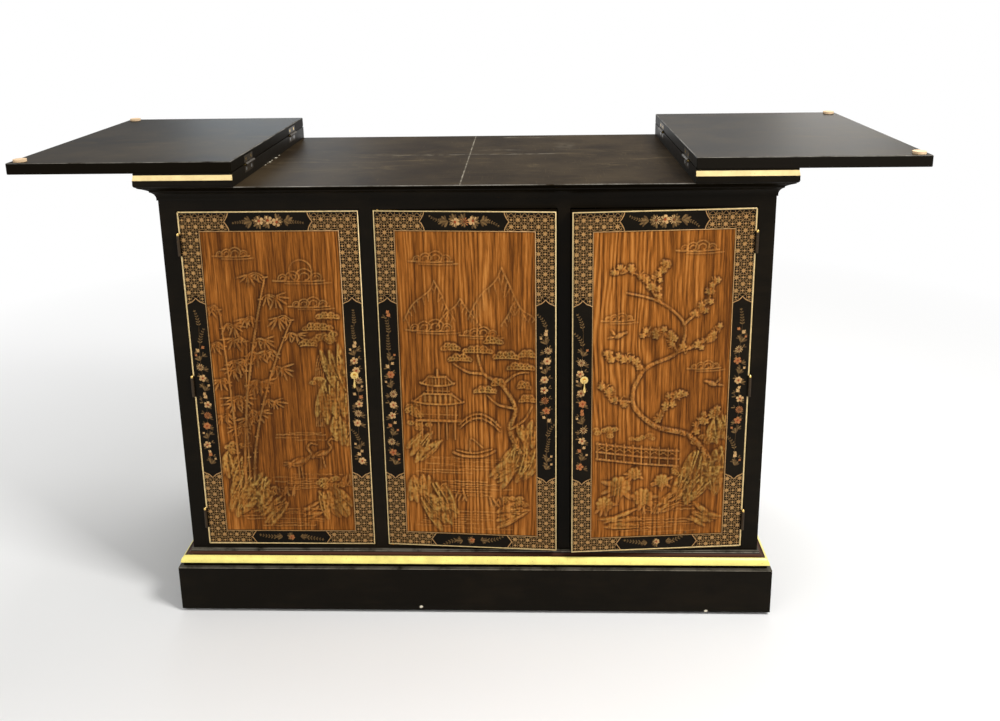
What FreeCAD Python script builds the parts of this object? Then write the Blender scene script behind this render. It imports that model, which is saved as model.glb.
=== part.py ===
import FreeCAD, Part
import os
import re
import Sketcher
from FreeCAD import Placement, Rotation, Vector

# Rolling bar cabinet: a low black lacquer cabinet on hidden casters. Three framed doors close
# three bays. The top has two leaves that lie open on raised ends and fold over a sunken worktop.
# Origin: on the floor, at the middle of the width and depth. +X right, +Y back, +Z up.

doc = FreeCAD.newDocument("rolling_bar_cabinet")

# Driving dimensions in millimetres, except the named counts and angles.
SIZES = {
    "closed_width": 1120.0,         # over the top ends, leaves closed
    "top_depth": 508.0,             # front to back, over the leaves
    "closed_height": 853.0,         # floor to the top of the raised ends
    "floor_clearance": 6.0,         # plinth above the floor
    "overhang": 29.0,               # top ends beyond the body, front and sides
    "end_block_width": 171.0,       # raised end beside the worktop
    "recess_depth": 24.5,           # raised end above the worktop
    "leaf_thickness": 20.0,
    "leaf_edge_radius": 2.0,
    "leaf_rest_gap": 0.3,           # open leaf above the raised end
    "centre_gap": 1.0,              # between the closed leaves
    "pad_radius": 11.0,
    "pad_inset": 17.0,              # pad centre from the leaf's edges
    "pad_seat_gap": 0.3,
    "worktop_thickness": 10.0,
    "worktop_overhang": 24.7,
    "worktop_lip": 2.0,
    "panel_thickness": 18.0,        # bottom, sub top, shelves and back of the plinth
    "side_thickness": 19.0,
    "back_thickness": 8.0,
    "frame_thickness": 19.0,        # stiles and rails of the front
    "stile_width": 29.0,
    "partition_thickness": 22.0,
    "top_rail_height": 37.0,
    "bottom_rail_foot": 84.0,       # lower edge of the bottom rail
    "bottom_rail_reveal": 6.5,      # bottom rail seen above the base moulding
    "side_foot": 30.0,              # lower edge of the sides
    "stop_drop": 8.0,               # door stop below the top rail
    "stop_thickness": 16.0,
    "stop_setback": 45.0,           # door stop from the bay's walls
    "stop_gap": 0.3,
    "cornice_height": 18.0,
    "cornice_projection": 10.0,
    "cornice_lip": 2.0,
    "cornice_hollow": 2.2,          # depth of its hollow curve
    "band_height": 9.0,
    "band_drop": 3.0,               # brass band below the top
    "band_thickness": 3.2,
    "band_slope": 1.6,              # upper edge of the band set back
    "block_housing": 1.0,           # raised end let into the worktop slab
    "block_round": 7.5,             # height of the rounded lower edge of the raised end
    "block_foot_setback": 5.0,
    "block_swell": 1.4,
    "plinth_height": 88.0,
    "plinth_projection": 24.0,
    "groove_height": 8.0,
    "groove_projection": 16.0,
    "gilt_height": 12.0,
    "gilt_projection": 20.0,
    "gilt_lip": 2.0,
    "gilt_top_projection": 13.0,
    "gilt_swell": 1.2,
    "base_cove_height": 8.0,
    "base_bead_height": 3.5,
    "base_bead_projection": 3.5,
    "base_lip": 0.8,
    "base_hollow": 1.2,
    "door_thickness": 19.0,
    "door_gap": 1.5,
    "door_edge_radius": 0.8,
    "border_side": 37.0,            # lattice border of a door, each side
    "border_top": 37.0,
    "border_bottom": 29.0,
    "panel_recess": 3.5,
    "panel_sink": 0.8,              # inlaid panel below the border's face
    "middle_ajar": 3.3,             # degrees that the middle door stands open
    "right_ajar": 4.2,              # degrees that the right door stands open
    "shelf_side_gap": 1.0,
    "shelf_setback": 25.0,
    "shelf_height": 455.0,          # underside of the shelves
    "shelf_pin_radius": 2.5,
    "shelf_pin_length": 16.0,
    "shelf_pin_inset": 40.0,
    "seat_gap": 0.2,
    "pin_fit": 0.05,                # radial clearance of pins and screws in their holes
    "mortise_fit": 0.2,
    "hinge_offset": 1.5,            # leaf hinge axis from the edge of leaf and raised end
    "leaf_hinge_length": 50.0,
    "leaf_hinge_spread": 154.0,     # leaf hinge centres from the mid depth
    "leaf_plate_height": 15.0,
    "leaf_plate_thickness": 1.6,
    "leaf_knuckle_radius": 2.8,
    "leaf_pin_radius": 1.5,
    "knuckle_gap": 0.3,
    "screw_head_radius": 3.2,
    "screw_shank_radius": 1.5,
    "screw_length": 12.0,
    "screw_spread": 15.0,           # leaf hinge screws from the hinge's centre
    "screw_inset": 6.0,             # leaf hinge screws from the plate's far edge
    "door_hinge_length": 37.0,
    "door_hinge_top_inset": 61.0,
    "door_hinge_bottom_inset": 55.0,
    "door_axis_stand": 3.0,         # door hinge axis in front of the face
    "door_plate_depth": 14.0,
    "door_plate_thickness": 1.2,
    "door_knuckle_radius": 2.7,
    "door_pin_radius": 1.25,
    "finial_radius": 2.5,
    "finial_collar": 1.0,
    "knife_inset": 8.0,             # knife hinge pivot from the door's edge
    "knife_depth": 4.0,             # knife hinge pivot behind the face
    "knife_length": 45.0,
    "knife_width": 7.0,
    "knife_thickness": 2.0,
    "knife_pin_radius": 2.0,
    "catch_radius": 4.0,
    "catch_length": 14.0,
    "catch_ball_radius": 2.6,
    "catch_proud": 1.0,
    "catch_inset": 40.0,
    "pull_inset": 22.0,             # pull from the door's free edge
    "pull_height": 474.0,
    "pull_stand": 4.3,
    "rosette_radius": 7.0,
    "rosette_thickness": 1.5,
    "pull_stud_radius": 1.5,
    "pull_stud_length": 9.0,
    "pull_eye_radius": 1.9,
    "pull_pin_radius": 0.9,
    "pull_ear_gap": 1.3,
    "pull_ear_thickness": 1.2,
    "pull_side_gap": 0.2,
    "drop_length": 24.5,
    "drop_radius": 2.8,
    "drop_neck_radius": 1.0,
    "drop_neck_length": 8.0,
    "drop_belly": 19.0,             # widest place of the drop below its pivot
    "caster_inset": 72.0,           # caster centres from the sides' inner faces
    "caster_end_inset": 94.0,       # caster centres from the front and back of the top
    "caster_height": 66.0,
    "caster_rail_width": 70.0,
    "caster_plate_size": 60.0,
    "caster_plate_thickness": 3.0,
    "caster_boss_radius": 16.0,
    "caster_boss_height": 2.7,
    "caster_screw_inset": 7.0,
    "swivel_gap": 0.3,
    "fork_disc_radius": 18.0,
    "fork_disc_thickness": 3.0,
    "fork_arm_thickness": 3.0,
    "fork_arm_radius": 9.0,
    "kingpin_radius": 4.0,
    "kingpin_head_radius": 6.5,
    "kingpin_head_height": 2.5,
    "wheel_radius": 25.0,
    "wheel_width": 20.0,
    "wheel_side_gap": 1.5,
    "wheel_edge_radius": 4.0,
    "wheel_hub_radius": 9.0,
    "wheel_dish": 2.0,
    "caster_trail": 18.0,
    "axle_radius": 3.0,
    "overrun": 2.0,                 # how far a cutting shape passes the face it cuts
}

# Levels and places worked out from the driving dimensions.
PLACES = {
    "body_half": "closed_width / 2 - overhang",
    "front": "-top_depth / 2",
    "back": "top_depth / 2",
    "face": "front + overhang",
    "frame_back": "face + frame_thickness",
    "door_back": "face + door_thickness",
    "side_inner": "body_half - side_thickness",
    "frame_inner": "body_half - stile_width",
    "carcass_back": "back - back_thickness",
    "block_inner": "closed_width / 2 - end_block_width",
    "worktop_top": "closed_height - recess_depth",
    "worktop_bottom": "worktop_top - worktop_thickness",
    "sub_top_bottom": "worktop_bottom - panel_thickness",
    "cornice_bottom": "worktop_bottom - cornice_height",
    "plinth_top": "floor_clearance + plinth_height",
    "groove_top": "plinth_top + groove_height",
    "gilt_top": "groove_top + gilt_height",
    "base_top": "gilt_top + base_cove_height",
    "opening_bottom": "base_top + bottom_rail_reveal",
    "opening_top": "worktop_bottom - top_rail_height",
    "floor_bottom": "opening_bottom - panel_thickness",
    "bay_width": "(2 * frame_inner - 2 * partition_thickness) / 3",
    "bay_pitch": "bay_width + partition_thickness",
    "door_width": "bay_width - 2 * door_gap",
    "door_bottom": "opening_bottom + door_gap",
    "door_height": "opening_top - opening_bottom - 2 * door_gap",
    "door_top": "door_bottom + door_height",
    "leaf_pivot": "block_inner - hinge_offset",
    "leaf_pivot_height": "closed_height + leaf_rest_gap / 2",
    "leaf_bottom": "closed_height + leaf_rest_gap",
    "leaf_top": "leaf_bottom + leaf_thickness",
    "leaf_width": "leaf_pivot - hinge_offset - centre_gap / 2",
    "pad_thickness": "recess_depth - leaf_thickness - pad_seat_gap",
    "shelf_front": "frame_back + shelf_setback",
    "shelf_back": "carcass_back - shelf_side_gap",
    "shelf_pin_level": "shelf_height - seat_gap - shelf_pin_radius",
    "door_axis": "face - door_axis_stand",
    "outer_axis": "bay_pitch + bay_width / 2 - door_gap / 2",
    "knife_axis": "door_width / 2 - knife_inset",
    "knife_line": "face + knife_depth",
    "pull_axis": "face - pull_stand",
    "pull_from_bay": "door_width / 2 - pull_inset",
    "caster_across": "side_inner - caster_inset",
    "caster_along": "back - caster_end_inset",
    "fork_top": "caster_height - caster_plate_thickness - caster_boss_height - swivel_gap",
    "fork_disc_bottom": "fork_top - fork_disc_thickness",
    "fork_inner": "wheel_width / 2 + wheel_side_gap",
}


def fill_sheet(title, table):
    """A spreadsheet with one named cell for each entry of the table."""
    sheet = doc.addObject("Spreadsheet::Sheet", title)
    for row, (name, content) in enumerate(table.items(), start=1):
        sheet.set("A%d" % row, name)
        sheet.set("B%d" % row, formula(content) if isinstance(content, str) else str(content))
        sheet.setAlias("B%d" % row, name)
    return sheet


def bound(text):
    """The same formula with every size named by its sheet."""
    return re.sub("[a-z_]+", lambda word: sheet_of(word.group()) + "." + word.group(), text)


def formula(text):
    return "=" + bound(text)


def sheet_of(name):
    return "Sizes" if name in SIZES else "Places"


sizes = fill_sheet("Sizes", SIZES)
places = fill_sheet("Places", PLACES)
doc.recompute()


def v(name):
    """The value of a named size or place."""
    return float((sizes if name in SIZES else places).get(name))


nodes = {}


def keep(label, made):
    """Names a finished sub-part and lists it for export."""
    made.Label = label
    nodes[label] = made
    return made


def box(name, x, y, z):
    """A board between a low and a high formula along each axis."""
    made = doc.addObject("Part::Box", name)
    for prop, (low, high) in zip(("Length", "Width", "Height"), (x, y, z)):
        made.setExpression(prop, bound("(%s) - (%s)" % (high, low)))
    for prop, (low, high) in zip("xyz", (x, y, z)):
        made.setExpression("Placement.Base." + prop, bound(low))
    return made


def peg(name, radius, length, x, y, z, turn=Rotation()):
    """A round peg from a place, along +Z unless it is turned."""
    made = doc.addObject("Part::Cylinder", name)
    made.Placement = Placement(Vector(), turn)
    made.setExpression("Radius", bound(radius))
    made.setExpression("Height", bound(length))
    for prop, text in zip("xyz", (x, y, z)):
        made.setExpression("Placement.Base." + prop, bound(text))
    return made


def cut(name, base, tools):
    made = doc.addObject("Part::Cut", name)
    made.Base = base
    made.Tool = tools[0]
    if len(tools) > 1:
        made.Tool = doc.addObject("Part::MultiFuse", name + "_tools")
        made.Tool.Shapes = tools
    return made


def fuse(name, parts):
    made = doc.addObject("Part::MultiFuse", name)
    made.Shapes = parts
    return made


def group(name, parts):
    """Separate solids kept in one node."""
    made = doc.addObject("Part::Compound", name)
    made.Links = parts
    return made


def shaped(name, shape, place=Placement()):
    """A sub-part whose shape is worked out here from the sheet's values."""
    made = doc.addObject("Part::Feature", name)
    made.Shape = shape
    made.Placement = place
    return made


def ordered(sign, inner, outer):
    """The low and high of two places across, the inner one nearer the middle."""
    return (inner, outer) if sign > 0 else (outer, inner)


ALONG_X = Rotation(Vector(0, 1, 0), 90)
SIDES = {"left": -1, "right": 1}
BAYS = {"left": -1, "middle": 0, "right": 1}
ENDS = {"front": -1, "back": 1}


# Carcass

def shelf_pin_pegs(name, extra):
    """The pegs of the shelf pins, two each side of a bay, or the bores for them."""
    pegs = []
    for bay, place in BAYS.items():
        for side, sign in SIDES.items():
            wall = "%d * bay_pitch + %d * bay_width / 2" % (place, sign)
            for end, level in (("front", "shelf_front + shelf_pin_inset"),
                               ("back", "shelf_back - shelf_pin_inset")):
                pegs.append(peg("%s_%s_%s_%s" % (name, bay, side, end),
                                "shelf_pin_radius + " + extra, "shelf_pin_length + 2 * " + extra,
                                wall + " - shelf_pin_length / 2 - " + extra,
                                level, "shelf_pin_level", ALONG_X))
    return pegs


def make_sides():
    for side, sign in SIDES.items():
        board = box(side + "_side_board",
                    ordered(sign, "%d * side_inner" % sign, "%d * body_half" % sign),
                    ("frame_back", "back"), ("side_foot", "worktop_bottom"))
        keep(side + "_side", cut(side + "_side", board, shelf_pin_pegs(side + "_side_bore", "pin_fit")))


def make_partitions():
    for side, sign in SIDES.items():
        centre = "%d * bay_pitch / 2" % sign
        wide = (centre + " - partition_thickness / 2", centre + " + partition_thickness / 2")
        board = box(side + "_partition_board", wide, ("face", "carcass_back"),
                    ("opening_bottom", "sub_top_bottom"))
        notch = box(side + "_partition_notch",
                    (wide[0] + " - overrun", wide[1] + " + overrun"),
                    ("face - overrun", "frame_back"), ("opening_top", "sub_top_bottom + overrun"))
        bores = shelf_pin_pegs(side + "_partition_bore", "pin_fit")
        keep(side + "_partition", cut(side + "_partition", board, [notch] + bores))


def make_panels():
    inside = ("-side_inner", "side_inner")
    keep("bottom_panel", box("bottom_panel", inside, ("frame_back", "carcass_back"),
                             ("floor_bottom", "opening_bottom")))
    keep("sub_top", box("sub_top", inside, ("frame_back", "carcass_back"),
                        ("sub_top_bottom", "worktop_bottom")))
    keep("back_panel", box("back_panel", inside, ("carcass_back", "back"),
                           ("floor_bottom", "worktop_bottom")))


def make_stiles():
    """End stiles of the front, with the seats of the door hinges."""
    stiles = []
    for side, sign in SIDES.items():
        board = box(side + "_stile_board",
                    ordered(sign, "%d * frame_inner" % sign, "%d * body_half" % sign),
                    ("face", "frame_back"), ("side_foot", "worktop_bottom"))
        seats = []
        for number, level in enumerate(hinge_levels("door_bottom")):
            wide = ordered(sign, "%d * (frame_inner - overrun)" % sign,
                           "%d * (frame_inner + door_plate_thickness)" % sign)
            seats.append(box("%s_stile_seat_%d" % (side, number), wide,
                             ("face - overrun", "door_axis + door_plate_depth + mortise_fit"),
                             (level + " - door_hinge_length / 2 - mortise_fit",
                              level + " + door_hinge_length / 2 + mortise_fit")))
        stiles.append(cut(side + "_stile", board, seats))
    keep("end_stiles", group("end_stiles", stiles))


def knife_seat(name, low, high):
    """The shallow mortise of a knife hinge plate in a rail."""
    return box(name, ("-knife_axis - knife_inset + door_gap - mortise_fit",
                      "-knife_axis - knife_inset + door_gap + knife_length + mortise_fit"),
               ("knife_line - knife_width / 2 - mortise_fit",
                "knife_line + knife_width / 2 + mortise_fit"), (low, high))


def catch_place(bay):
    """Mid line of a door's ball catch, near its free edge."""
    free = -1 if bay == "right" else 1
    return "%d * bay_pitch + %d * (bay_width / 2 - catch_inset)" % (BAYS[bay], free)


def make_top_rail():
    """The rail over the doors, with a stop for each door behind it."""
    pieces = [box("top_rail_board", ("-frame_inner", "frame_inner"), ("face", "frame_back"),
                  ("opening_top", "worktop_bottom"))]
    for bay, place in BAYS.items():
        wide = ("%d * bay_pitch - bay_width / 2 + stop_setback" % place,
                "%d * bay_pitch + bay_width / 2 - stop_setback" % place)
        pieces.append(box(bay + "_stop_root", wide, ("frame_back", "frame_back + stop_thickness"),
                          ("opening_top", "sub_top_bottom")))
        pieces.append(box(bay + "_stop", wide, ("door_back + stop_gap", "frame_back + stop_thickness"),
                          ("opening_top - stop_drop", "opening_top")))
    tools = [knife_seat("top_knife_seat", "opening_top - overrun", "opening_top + knife_thickness")]
    for bay in BAYS:
        tools.append(peg(bay + "_catch_bore", "catch_radius + pin_fit",
                         "catch_length + overrun + pin_fit", catch_place(bay),
                         "face + frame_thickness / 2", "opening_top - overrun"))
    keep("top_rail", cut("top_rail", fuse("top_rail_solid", pieces), tools))


def make_bottom_rail():
    board = box("bottom_rail_board", ("-frame_inner", "frame_inner"), ("face", "frame_back"),
                ("bottom_rail_foot", "opening_bottom"))
    seat = knife_seat("bottom_knife_seat", "opening_bottom - knife_thickness",
                      "opening_bottom + overrun")
    keep("bottom_rail", cut("bottom_rail", board, [seat]))


def make_shelves():
    boards = []
    for bay, place in BAYS.items():
        boards.append(box(bay + "_shelf",
                          ("%d * bay_pitch - bay_width / 2 + shelf_side_gap" % place,
                           "%d * bay_pitch + bay_width / 2 - shelf_side_gap" % place),
                          ("shelf_front", "shelf_back"),
                          ("shelf_height", "shelf_height + panel_thickness")))
    keep("shelves", group("shelves", boards))
    keep("shelf_pins", group("shelf_pins", shelf_pin_pegs("shelf_pin", "0")))


def make_catches():
    """Spring ball catches let into the top rail, over the free edge of each door."""
    catches = []
    for bay in BAYS:
        barrel = peg(bay + "_catch_barrel", "catch_radius", "catch_length", catch_place(bay),
                     "face + frame_thickness / 2", "opening_top")
        ball = doc.addObject("Part::Sphere", bay + "_catch_ball")
        ball.setExpression("Radius", bound("catch_ball_radius"))
        for prop, text in zip("xyz", (catch_place(bay), "face + frame_thickness / 2",
                                      "opening_top + catch_ball_radius - catch_proud")):
            ball.setExpression("Placement.Base." + prop, bound(text))
        catches.append(fuse(bay + "_catch", [barrel, ball]))
    keep("ball_catches", group("ball_catches", catches))


# Mouldings. A profile is a list of points (projection from the body, height), and a point of
# four numbers is an arc: its middle, then its end.

def outline(points, place):
    """A closed face through the points of a profile, set in space by the function place."""
    edges = []
    here = place(points[0])
    for step in list(points[1:]) + [points[0]]:
        there = place(step[-2:])
        if len(step) == 4:
            edges.append(Part.Arc(here, place(step[:2]), there).toShape())
        else:
            edges.append(Part.LineSegment(here, there).toShape())
        here = there
    return Part.Face(Part.Wire(edges))


def flat_block(corners, low, high):
    """An upright block over a plan of (x, y) corners."""
    wire = Part.makePolygon([Vector(x, y, low) for x, y in corners + corners[:1]])
    return Part.Face(wire).extrude(Vector(0, 0, high - low))


def wrapped(points, run):
    """One length of a moulding round the body, with its corners cut to a mitre."""
    half, face, back = v("body_half"), v("face"), v("back")
    reach, inside = v("overhang") + v("overrun"), v("overrun")
    if run == "front":
        section = outline(points, lambda p: Vector(-half - reach, face - p[0], p[1]))
        length = section.extrude(Vector(2 * (half + reach), 0, 0))
        plan = [(-half + inside, face + inside), (-half - reach, face - reach),
                (half + reach, face - reach), (half - inside, face + inside)]
    else:
        sign = SIDES[run]
        section = outline(points, lambda p: Vector(sign * (half + p[0]), face - reach, p[1]))
        length = section.extrude(Vector(0, back - face + reach, 0))
        plan = [(sign * (half - inside), face + inside), (sign * (half + reach), face - reach),
                (sign * (half + reach), back), (sign * (half - inside), back)]
    return length.common(flat_block(plan, 0, v("closed_height"))).Solids[0]


def cornice_profile():
    low, top = v("cornice_bottom"), v("worktop_bottom")
    out, lip = v("cornice_projection"), v("cornice_lip")
    middle = ((out + lip) / 2 - v("cornice_hollow"), (low + top - lip) / 2 + v("cornice_hollow"))
    return [(0, low), (lip, low), middle + (out, top - lip), (out, top), (0, top)]


def base_profile():
    low, top = v("gilt_top"), v("base_top")
    out, bead, lip = v("gilt_top_projection"), v("base_bead_projection"), v("base_lip")
    shoulder = top - v("base_bead_height")
    middle = ((out + bead) / 2 - v("base_hollow"), (low + lip + shoulder) / 2 - v("base_hollow"))
    return [(0, low), (out, low), (out, low + lip), middle + (bead, shoulder), (bead, top), (0, top)]


def gilt_profile():
    low, top = v("groove_top"), v("gilt_top")
    out, upper, lip = v("gilt_projection"), v("gilt_top_projection"), v("gilt_lip")
    middle = ((out + upper) / 2 + v("gilt_swell"), (low + lip + top) / 2 + v("gilt_swell"))
    return [(0, low), (out, low), (out, low + lip), middle + (upper, top), (0, top)]


def plinth_profile():
    low, top, upper = v("floor_clearance"), v("plinth_top"), v("groove_top")
    out, inner = v("plinth_projection"), v("groove_projection")
    return [(0, low), (out, low), (out, top), (inner, top), (inner, upper), (0, upper)]


def band_profile():
    low = v("closed_height") - v("band_drop") - v("band_height")
    out, inner = v("overhang"), v("overhang") - v("band_thickness")
    return [(inner, low), (out, low), (out - v("band_slope"), low + v("band_height")),
            (inner, low + v("band_height"))]


def make_mouldings():
    cornice = {run: wrapped(cornice_profile(), run) for run in ("front", "left", "right")}
    keep("cornice_front", shaped("cornice_front", cornice["front"]))
    keep("cornice_returns", shaped("cornice_returns",
                                   Part.makeCompound([cornice["left"], cornice["right"]])))
    for name, profile in (("base_moulding", base_profile()), ("gilt_band", gilt_profile())):
        runs = [wrapped(profile, run) for run in ("front", "left", "right")]
        keep(name, shaped(name, Part.makeCompound(runs)))
    plinth = {run: wrapped(plinth_profile(), run) for run in ("front", "left", "right")}
    keep("plinth_front", shaped("plinth_front", plinth["front"]))
    keep("plinth_sides", shaped("plinth_sides",
                                Part.makeCompound([plinth["left"], plinth["right"]])))
    keep("plinth_back", box("plinth_back", ("-side_inner", "side_inner"),
                            ("back - panel_thickness", "back"), ("floor_clearance", "groove_top")))


def capped(points, inner, sides):
    """A slab whose front and named sides have one edge profile, reaching in to inner."""
    half, face, back = v("body_half"), v("face"), v("back")
    reach = v("overhang") + v("overrun")
    low, top = points[0][1], points[-1][-1]
    deep = [(face - back, low)] + points + [(face - back, top)]
    section = outline(deep, lambda p: Vector(-half - reach, face - p[0], p[1]))
    slab = section.extrude(Vector(2 * (half + reach), 0, 0))
    for side in sides:
        sign = SIDES[side]
        wide = [(inner - half, low)] + points + [(inner - half, top)]
        edge = outline(wide, lambda p: Vector(sign * (half + p[0]), face - reach, p[1]))
        slab = slab.common(edge.extrude(Vector(0, back - face + reach, 0)))
    return slab.Solids[0]


def make_worktop():
    """The worktop slab, housed a little lower under the raised ends."""
    low, top = v("worktop_bottom"), v("worktop_top")
    inner, out = v("cornice_projection"), v("worktop_overhang")
    middle = ((inner + out) / 2 - v("cornice_hollow") / 2, (low + top - v("worktop_lip")) / 2)
    hollow = [(inner, low), middle + (out, top - v("worktop_lip")), (out, top)]
    slab = capped(hollow, -v("closed_width"), ("left", "right"))
    deep = v("block_housing")
    for sign in SIDES.values():
        inner, outer = sign * v("block_inner"), sign * v("closed_width")
        low_corner = Vector(min(inner, outer), v("front") - v("overrun"), top - deep)
        slab = slab.cut(Part.makeBox(abs(outer - inner), v("top_depth") + 2 * v("overrun"),
                                     deep + v("overrun"), low_corner))
    keep("worktop", shaped("worktop", slab.Solids[0]))


# Leaf hinges

def screw(head, shank, deep, fit):
    """A countersunk screw pointing along +Z from its head's face, or the hole for it."""
    cone = Part.makeCone(head + fit, shank + fit, deep)
    return cone.fuse(Part.makeCylinder(shank + fit, deep + v("screw_length") + fit))


def leaf_screws(side, upward, fit):
    """Screws of the plates on one side, in the leaf if upward, else in the raised end."""
    found = []
    level = v("leaf_pivot_height") + upward * (v("leaf_plate_height") - v("screw_inset"))
    into = Rotation(Vector(0, 0, 1), Vector(SIDES[side], 0, 0))
    for end in ENDS.values():
        for step in (-1, 1):
            made = screw(v("screw_head_radius"), v("screw_shank_radius"),
                         v("leaf_plate_thickness"), fit)
            along = end * v("leaf_hinge_spread") + step * v("screw_spread")
            made.Placement = Placement(Vector(SIDES[side] * v("block_inner"), along, level), into)
            found.append(made)
    return found


def knuckled_plate(length, offset, thick, deep, knuckle, pin, mine):
    """A hinge plate beside its axis, the local Z, with the knuckles whose numbers are in mine.

    The plate lies at +X, offset from the axis, and reaches along +Y. A pin fits its knuckles.
    """
    count = 5
    share = length / count
    gap = v("knuckle_gap")
    plate = Part.makeBox(thick, deep, length, Vector(offset, 0, -length / 2))
    for number in range(count):
        low = -length / 2 + number * share
        if number in mine:
            low_gap = gap / 2 if number > 0 else 0
            high_gap = gap / 2 if number < count - 1 else 0
            ring = Part.makeCylinder(knuckle, share - low_gap - high_gap, Vector(0, 0, low + low_gap))
            plate = plate.fuse(ring)
        else:
            away = knuckle + gap
            notch = Part.makeBox(2 * away, 2 * away, share, Vector(-away, -away, low))
            plate = plate.cut(notch)
    bore = Part.makeCylinder(pin, length + gap, Vector(0, 0, -length / 2 - gap / 2))
    return plate.cut(bore).removeSplitter().Solids[0]


def leaf_plates(side, upward):
    """Both hinge plates of one leaf, or of the raised end below it."""
    mine = (1, 3) if upward > 0 else (0, 2, 4)
    sign = SIDES[side]
    plates = []
    holes = leaf_screws(side, upward, v("pin_fit"))
    for end in ENDS.values():
        plate = knuckled_plate(v("leaf_hinge_length"), v("hinge_offset"), v("leaf_plate_thickness"),
                               v("leaf_plate_height"), v("leaf_knuckle_radius"),
                               v("leaf_pin_radius"), mine)
        turn = Rotation(Vector(sign, 0, 0), Vector(0, 0, upward), Vector(0, -sign * upward, 0), "XYZ")
        plate.Placement = Placement(Vector(sign * v("leaf_pivot"), end * v("leaf_hinge_spread"),
                                           v("leaf_pivot_height")), turn)
        plates.append(plate.cut(holes).Solids[0])
    return plates


def leaf_pins():
    """Straight pins of the leaf hinges."""
    pins = []
    for sign in SIDES.values():
        for end in ENDS.values():
            low = Vector(sign * v("leaf_pivot"),
                         end * v("leaf_hinge_spread") - v("leaf_hinge_length") / 2,
                         v("leaf_pivot_height"))
            pins.append(Part.makeCylinder(v("leaf_pin_radius") - v("pin_fit"),
                                          v("leaf_hinge_length"), low, Vector(0, 1, 0)))
    return pins


def make_end_blocks():
    """Raised ends with a rounded lower edge, a seat for the brass band and the hinge mortises."""
    low, top = v("worktop_top") - v("block_housing"), v("closed_height")
    out = v("overhang")
    foot = out - v("block_foot_setback")
    belly = low + v("block_round")
    seat = band_profile()
    middle = ((foot + out) / 2 + v("block_swell"), (low + belly) / 2 - v("block_swell"))
    edge = [(foot, low), middle + (out, belly), seat[1], seat[0], seat[3], seat[2],
            (out - v("band_slope"), top)]
    block = capped(edge, v("block_inner"), ("right",))
    for end in ENDS.values():
        wide = v("leaf_hinge_length") + 2 * v("mortise_fit")
        deep = v("leaf_plate_height") + v("mortise_fit")
        corner = Vector(v("block_inner") - v("overrun"), end * v("leaf_hinge_spread") - wide / 2,
                        v("leaf_pivot_height") - deep)
        block = block.cut(Part.makeBox(v("overrun") + v("leaf_plate_thickness"), wide,
                                       deep + v("overrun"), corner))
    block = block.cut(leaf_screws("right", -1, v("pin_fit"))).Solids[0]
    keep("right_end_block", shaped("right_end_block", block))
    keep("left_end_block", shaped("left_end_block", block.mirror(Vector(), Vector(1, 0, 0))))


def make_brass_bands():
    """Bands let into the raised ends, each a front length and a return along the side."""
    reach = v("end_block_width") + v("overrun")
    lengths = []
    for side, sign in SIDES.items():
        front = wrapped(band_profile(), "front")
        inner, outer = sign * v("block_inner"), sign * (v("block_inner") + reach)
        plan = [(inner, v("face")), (outer, v("face")),
                (outer, v("front") - v("overrun")), (inner, v("front") - v("overrun"))]
        lengths.append(front.common(flat_block(plan, 0, v("closed_height"))).Solids[0])
        lengths.append(wrapped(band_profile(), side))
    keep("brass_bands", shaped("brass_bands", Part.makeCompound(lengths)))


# Bodies built from sketches

def new_body(name, place):
    body = doc.addObject("PartDesign::Body", name)
    body.Placement = place
    return body


def sketch_on(body, role, name, lift=None):
    """A sketch on one of the body's own planes, or lifted off it by a formula."""
    sketch = body.newObject("Sketcher::SketchObject", name)
    plane = [feature for feature in body.Origin.OriginFeatures if feature.Role == role][0]
    sketch.AttachmentSupport = (plane, [""])
    sketch.MapMode = "FlatFace"
    if lift:
        sketch.setExpression("AttachmentOffset.Base.z", bound(lift))
    return sketch


def draw_rectangle(sketch, low_u, low_v, high_u, high_v):
    """A rectangle whose four sides are bound to formulas."""
    first = sketch.GeometryCount
    corners = [Vector(0, 0, 0), Vector(1, 0, 0), Vector(1, 1, 0), Vector(0, 1, 0)]
    for number in range(4):
        sketch.addGeometry(Part.LineSegment(corners[number], corners[(number + 1) % 4]), False)
    for number in range(4):
        sketch.addConstraint(Sketcher.Constraint("Coincident", first + number, 2,
                                                 first + (number + 1) % 4, 1))
        kind = "Vertical" if number % 2 else "Horizontal"
        sketch.addConstraint(Sketcher.Constraint(kind, first + number))
    for kind, corner, text in (("DistanceX", 0, low_u), ("DistanceY", 0, low_v),
                               ("DistanceX", 2, high_u), ("DistanceY", 2, high_v)):
        start = corners[corner].x if kind == "DistanceX" else corners[corner].y
        made = sketch.addConstraint(Sketcher.Constraint(kind, -1, 1, first + corner, 1, start))
        sketch.setExpression("Constraints[%d]" % made, bound(text))


def draw_circle(sketch, radius, at_u, at_v):
    """A circle whose radius and centre are bound to formulas."""
    number = sketch.addGeometry(Part.Circle(Vector(1, 1, 0), Vector(0, 0, 1), 1), False)
    for kind, text in (("DistanceX", at_u), ("DistanceY", at_v)):
        made = sketch.addConstraint(Sketcher.Constraint(kind, -1, 1, number, 3, 1))
        sketch.setExpression("Constraints[%d]" % made, bound(text))
    made = sketch.addConstraint(Sketcher.Constraint("Radius", number, 1))
    sketch.setExpression("Constraints[%d]" % made, bound(radius))


def add_pad(body, sketch, length, name):
    pad = body.newObject("PartDesign::Pad", name)
    pad.Profile = sketch
    pad.setExpression("Length", bound(length))
    doc.recompute()
    return pad


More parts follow.
